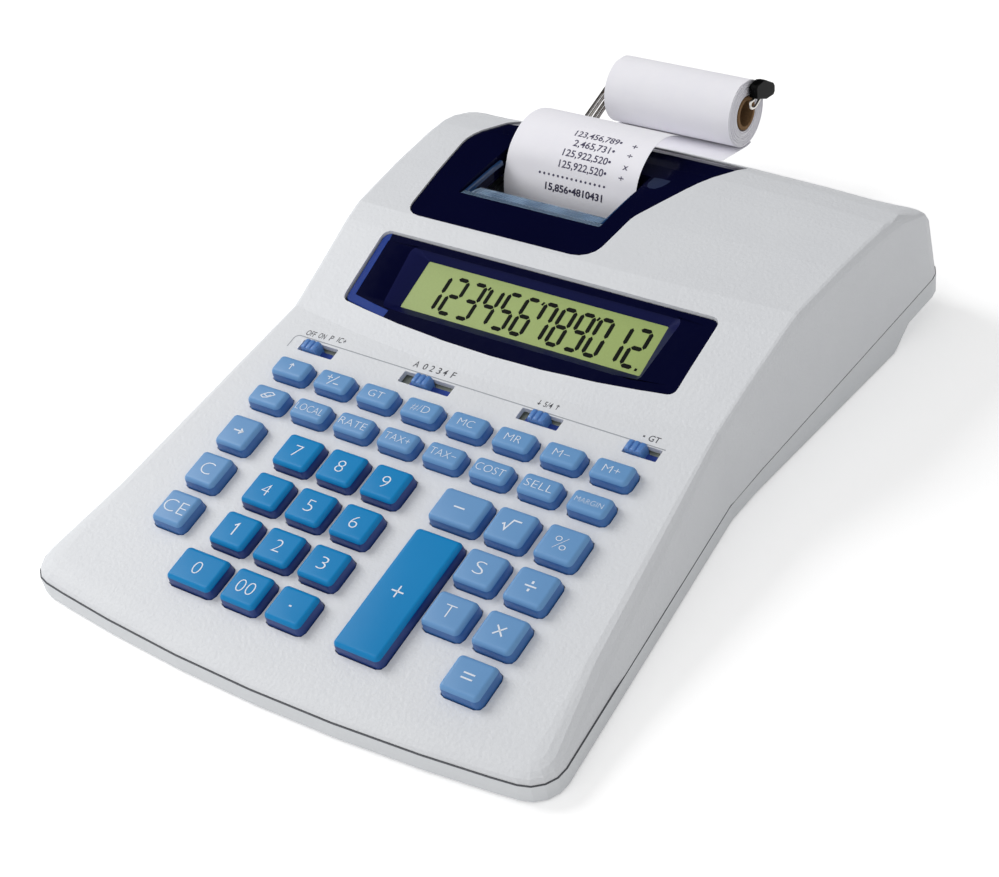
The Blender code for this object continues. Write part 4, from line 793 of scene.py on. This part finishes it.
figure_height, sign_height, sign_half, sign_drop = 2.7, 2.4, 1.1, 0.3
dots_left, dots_right, dots_s, dots, dot_radius, dot_sides = -41.3, -12.7, 14.3, 15, 0.5, 8
rows = bmesh.new()
for text, left, right_end, s, sign, sign_x in (
    ("123,456,789•", -32.5, -12.0, 31.2, "+", -6.3), ("2,465,731•", -30.9, -12.9, 26.8, "÷", -6.2),
    ("125,922,520•", -33.5, -12.5, 22.3, "x", -5.8), ("125,922,520•", -33.7, -12.8, 17.8, "÷", -6.3),
):
    print_row(rows, text, left, right_end, s, figure_height)
    print_row(rows, sign, sign_x - sign_half, sign_x + sign_half, s - sign_drop, sign_height)
for i in range(dots):
    x = mix(dots_left, dots_right, i / (dots - 1))
    angles = [side * 2 * pi / dot_sides for side in range(dot_sides)]
    spot = [on_strip(x + dot_radius * cos(angle), dots_s + dot_radius * sin(angle), ink_lift)
            for angle in angles]
    rows.faces.new([rows.verts.new(point) for point in spot])
add_piece("printed_rows", rows, "case", (print_ink,), smooth=False)
total = bmesh.new()
print_row(total, "15,856•4810431", -38.1, -12.7, 8.6, 2.6, weight=0.03)
print_row(total, "s", -6.6, -5.4, 6.2, 1.6, weight=0.0)
add_piece("printed_total", total, "case", (print_ink_bold,), smooth=False)

# Thumb recess beside the paper, where the cover is lifted off: a flat patch in painted sheen
deck_z, cover_drop, recess_lift = 54.9, 0.5, 0.04
recess_outline = [(4.3, 127.0), (5.2, 124.4), (6.8, 123.6), (8.8, 124.1), (10.4, 126.2), (11.3, 128.9),
                  (11.4, 130.8), (7.6, 130.9), (4.6, 130.6)]
recess = bmesh.new()
recess_z = deck_z - cover_drop + recess_lift
recess.faces.new([recess.verts.new(at(x, y, recess_z)) for x, y in recess_outline])
add_piece("thumb_recess_painted_sheen", recess, "case", (recess_pc_painted_sheen,), smooth=False)

# Tear bar: a ribbed clear bar with teeth along the front of the well, and its two arms
bar_left, bar_right, bar_front, bar_back, bar_low, bar_top = -58.9, 2.9, 95.75, 98.85, 49.3, 53.15
tooth_pitch, tooth_height, tooth_foot, bar_rib = 1.4, 0.85, 1.4, 0.12
back_bevel, front_bevel, front_drop, crest_share = 0.5, 0.3, 0.35, 0.3
guide_margin, guide_rib, ribbed_points = 0.6, 0.35, 3
guide_section = [(bar_back, 52.0), (bar_back + 4.0, 51.2), (bar_back + 7.6, 50.0), (bar_back + 7.4, 49.2),
                 (bar_back + 3.8, 50.3), (bar_back, 51.0)]
bm = bmesh.new()
teeth = int((bar_right - bar_left) / tooth_pitch)
loops = []
for i in range(teeth * 2 + 1):
    x = mix(bar_left, bar_right, i / (teeth * 2))
    cut = 0.0 if i % 2 else tooth_height
    rib = 0.0 if i % 2 else bar_rib
    loops.append([at(x, y, z) for y, z in (
        (bar_front, bar_low), (bar_back, bar_low), (bar_back - rib, bar_top - tooth_foot),
        (bar_back - rib, bar_top - cut), (bar_back - back_bevel, bar_top - cut * crest_share),
        (bar_front + front_bevel, bar_top - rib), (bar_front, bar_top - front_drop - rib))])
skin(bm, loops, cap_first=True, cap_last=True)
# the guide plate that runs from the bar's foot towards the paper, ribbed on top
loops = []
for i in range(teeth * 4 + 1):
    x = mix(paper_left - guide_margin, paper_right + guide_margin, i / (teeth * 4))
    rib = 0.0 if i % 2 else guide_rib
    loops.append([at(x, y, z - (rib if j < ribbed_points else 0)) for j, (y, z) in enumerate(guide_section)])
skin(bm, loops, cap_first=True, cap_last=True)
bmesh.ops.recalc_face_normals(bm, faces=bm.faces)
add_piece("tear_teeth", bm, "case", (tear_styrene,), ("tear_bar",), sharp=20)
arm_width, arm_z = 1.6, 51.3
arm_section = [(0, 0), (arm_width, 0), (arm_width, 1.5), (1.3, 1.8), (0.3, 1.8), (0, 1.5)]
arm_slices = ((0, 0), (16, 0), (20, 0.1), (22.8, 0.3))
bm = bmesh.new()
for left in (bar_left, bar_right - arm_width):
    loops = [[at(left + x, bar_back + y, arm_z + z - drop) for x, z in arm_section] for y, drop in arm_slices]
    skin(bm, loops, cap_first=True, cap_last=True)
bmesh.ops.recalc_face_normals(bm, faces=bm.faces)
# the arms take the dark blue painted shade
add_piece("tear_arms", bm, "case", (tear_arm_painted_shade,), ("tear_bar",), sharp=30)

# Paper roll: one band wound in a spiral over the card core, its layers slightly uneven at the ends
turns, per_turn = 15, 56
core_gap, layer_fill, end_margin = 0.1, 0.9, 0.35
end_waves = ((0.22, 2.4), (0.12, 5.1))
layer = (roll_radius - core_radius - core_gap) / (turns + 1)
roll = bmesh.new()
band = []
for i in range(turns * per_turn + 1):
    share = i / (turns * per_turn)
    angle = radians(roll_off_angle) - 2 * pi * turns * (1 - share)
    radius = core_radius + core_gap + layer * (1 + share * turns)
    inner = radius - layer * layer_fill
    turn_count = int(share * turns + 0.5)
    push = sum(size * sin(turn_count * pace) for size, pace in end_waves)
    left, right_end = paper_left + end_margin + push, paper_right - end_margin + push
    band.append([at(x, roll_y + r * cos(angle), roll_z + r * sin(angle))
                 for x, r in ((left, inner), (left, radius), (right_end, radius), (right_end, inner))])
skin(roll, band, cap_first=True, cap_last=True)
bmesh.ops.recalc_face_normals(roll, faces=roll.faces)
add_piece("wound_roll", roll, "roll", (roll_paper,), ("paper_roll",), sharp=40)

# Holder clip: a black block with rounded edges, and the wire hook that it closes over the core
clip_outline = [(205.4, 47.4), (205.6, 51.4), (206.6, 52.3), (211.2, 52.3), (213.4, 51.3), (219.3, 47.0),
                (219.9, 45.6), (219.6, 43.2), (218.4, 42.2), (213.2, 42.9), (209.2, 45.0), (206.2, 46.5)]
clip_middle = Vector((212.6, 47.2))
clip_slices = ((1.3, 0.5), (1.6, 0.15), (2.0, 0), (4.2, 0), (4.6, 0.15), (4.9, 0.5))
bm = bmesh.new()
loops = []
for x, pull in clip_slices:
    rim = []
    for y, z in clip_outline:
        inward = (clip_middle - Vector((y, z))).normalized() * pull
        rim.append(at(x, y + inward.x, z + inward.y))
    loops.append(rim)
skin(bm, loops, cap_first=True, cap_last=True)
bmesh.ops.recalc_face_normals(bm, faces=bm.faces)
add_piece("clip_block", bm, "clip", (clip_acetal,), ("holder_clip",), sharp=32)

hook_x, hook_radius, hook_sides = 3.1, 0.6, 10
hook_points = [(211.0, 44.8), (207.6, 43.0), (204.6, 43.2), (202.8, 44.6), (203.2, 46.2), (205.2, 46.4),
               (208.0, 47.0)]
hook_path = spline([Vector((hook_x, y, z)) for y, z in hook_points], 6)
angles = [2 * pi * k / hook_sides for k in range(hook_sides)]
bm = bmesh.new()
loops = []
for i, point in enumerate(hook_path):
    along = (hook_path[min(i + 1, len(hook_path) - 1)] - hook_path[max(i - 1, 0)]).normalized()
    side = along.cross(Vector((1, 0, 0))).normalized()
    over = along.cross(side)
    loops.append([at(*(point + (side * cos(angle) + over * sin(angle)) * hook_radius)) for angle in angles])
skin(bm, loops, cap_first=True, cap_last=True)
bmesh.ops.recalc_face_normals(bm, faces=bm.faces)
add_piece("clip_hook", bm, "clip", (wire_bright,), ("holder_clip",), sharp=50)

# The joint between the shells: the lip of the base is drawn dark all round, painted shade for the shadow in
# the gap, which shows as a thin line
seam = bmesh.new()
seam.from_mesh(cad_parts["lower_case"].data)
seam_low, seam_rise, seam_start, seam_run = 7.4, 11.0, 32.0, 142.0
lip_reach, upward, seam_line_lift = 0.8, 0.7, 0.04
outside = []
for face in seam.faces:
    middle = face.calc_center_median() / mm
    joint_z = seam_low + seam_rise * max(0, middle.y - origin_y - seam_start) / seam_run
    if face.normal.z < upward or abs(middle.z - joint_z) > lip_reach:
        outside.append(face)
bmesh.ops.delete(seam, geom=outside, context="FACES")
bmesh.ops.translate(seam, verts=seam.verts, vec=(0, 0, seam_line_lift * mm))
add_piece("seam_line_painted_shade", seam, "case", (seam_painted_shade,), smooth=False)

# CAD nodes that keep their shape
finishes = {
    "upper_case": case_abs, "lower_case": base_abs, "battery_door": base_abs, "printer_cover": smoked_pc,
    "lcd_panel": lcd_glass, "roll_core": core_card, "holder_arm_left": wire_nickel,
    "holder_arm_right": wire_nickel, "platen_roller": platen_rubber,
    "print_mechanism": frame_zinc, "circuit_board": board_mask,
}
for name, finish in finishes.items():
    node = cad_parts[name]
    node.data.materials.clear()
    node.data.materials.append(finish)


# Studio, whose sizes and places are in metres
def flat_sheet(name, half_width, half_depth, material):
    """A flat rectangle with its middle at the origin."""
    mesh = bpy.data.meshes.new(name)
    corners = [(-half_width, -half_depth, 0), (half_width, -half_depth, 0),
               (half_width, half_depth, 0), (-half_width, half_depth, 0)]
    mesh.from_pydata(corners, [], [(0, 1, 2, 3)])
    mesh.materials.append(material)
    made = bpy.data.objects.new(name, mesh)
    bpy.context.scene.collection.objects.link(made)
    return made


floor_half = 4.0
floor_glow = 0.32
floor_white, floor_tree, floor_shader = new_material("studio_floor", Base_Color="#FFFFFF", Roughness=0.95,
                                                     Specular_IOR_Level=0.1, Emission_Color="#FFFFFF")
# the paper sweep reads as white to the camera, in mirrors and through clear plastic, and keeps the shadow
floor_rays = add_node(floor_tree, "ShaderNodeLightPath")
floor_mirrored = add_node(floor_tree, "ShaderNodeMath", {"operation": "MAXIMUM"},
                          _0=floor_rays.outputs["Is Glossy Ray"],
                          _1=floor_rays.outputs["Is Transmission Ray"])
floor_seen = add_node(floor_tree, "ShaderNodeMath", {"operation": "MAXIMUM"},
                      _0=floor_rays.outputs["Is Camera Ray"], _1=floor_mirrored.outputs[0])
floor_lift = add_node(floor_tree, "ShaderNodeMath", {"operation": "MULTIPLY"},
                      _0=floor_seen.outputs[0], _1=floor_glow)
floor_tree.links.new(floor_lift.outputs[0], floor_shader.inputs["Emission Strength"])
floor = flat_sheet("floor", floor_half, floor_half, floor_white)

object_middle = (0, 0, 0.03)


def lamp(name, place, size, power):
    """A soft square lamp that points at the middle of the object."""
    data = bpy.data.lights.new(name, "AREA")
    data.shape = "SQUARE"
    data.size = size
    data.energy = power
    made = bpy.data.objects.new(name, data)
    bpy.context.scene.collection.objects.link(made)
    made.location = place
    made.rotation_euler = (Vector(object_middle) - Vector(place)).to_track_quat("-Z", "Y").to_euler()


lamp("key_light", (-1.15, -0.08, 1.05), size=0.8, power=12)
lamp("fill_light", (-0.1, -1.3, 1.2), size=1.2, power=4)

# Black cards over the left rear and behind, as a photographer sets them: polished plastics mirror them and
# stay deep. They show in reflections alone. Each has its place, the way it faces and half its two sizes.
cards = {"card_over": ((-0.62, 0.62, 1.0), (-0.5, 0.42, 0.76), 1.0, 1.0),
         "card_behind": ((-0.5, 1.3, 0.62), (0, -1, 0), 1.3, 0.6)}
card_black, _, _ = new_material("black_velvet", Base_Color="#060606", Roughness=1.0, Specular_IOR_Level=0.0)
for name, (place, facing, half_width, half_depth) in cards.items():
    card = flat_sheet(name, half_width, half_depth, card_black)
    card.location = place
    card.rotation_euler = Vector(facing).to_track_quat("Z", "Y").to_euler()
    card.visible_camera = card.visible_diffuse = card.visible_shadow = card.visible_transmission = False

sky_light, sky_seen = 0.46, 1.0
world = bpy.data.worlds.new("world")
world.use_nodes = True
sky = world.node_tree
background = sky.nodes["Background"]
background.inputs["Color"].default_value = (1, 1, 1, 1)
rays = add_node(sky, "ShaderNodeLightPath")
mirrored = add_node(sky, "ShaderNodeMath", {"operation": "MAXIMUM"}, _0=rays.outputs["Is Glossy Ray"],
                    _1=rays.outputs["Is Transmission Ray"])
seen = add_node(sky, "ShaderNodeMath", {"operation": "MAXIMUM"}, _0=rays.outputs["Is Camera Ray"],
                _1=mirrored.outputs[0])
strength = add_node(sky, "ShaderNodeMapRange", Value=seen.outputs[0], To_Min=sky_light, To_Max=sky_seen)
sky.links.new(strength.outputs["Result"], background.inputs["Strength"])
bpy.context.scene.world = world
bpy.context.scene.view_settings.view_transform = "Standard"
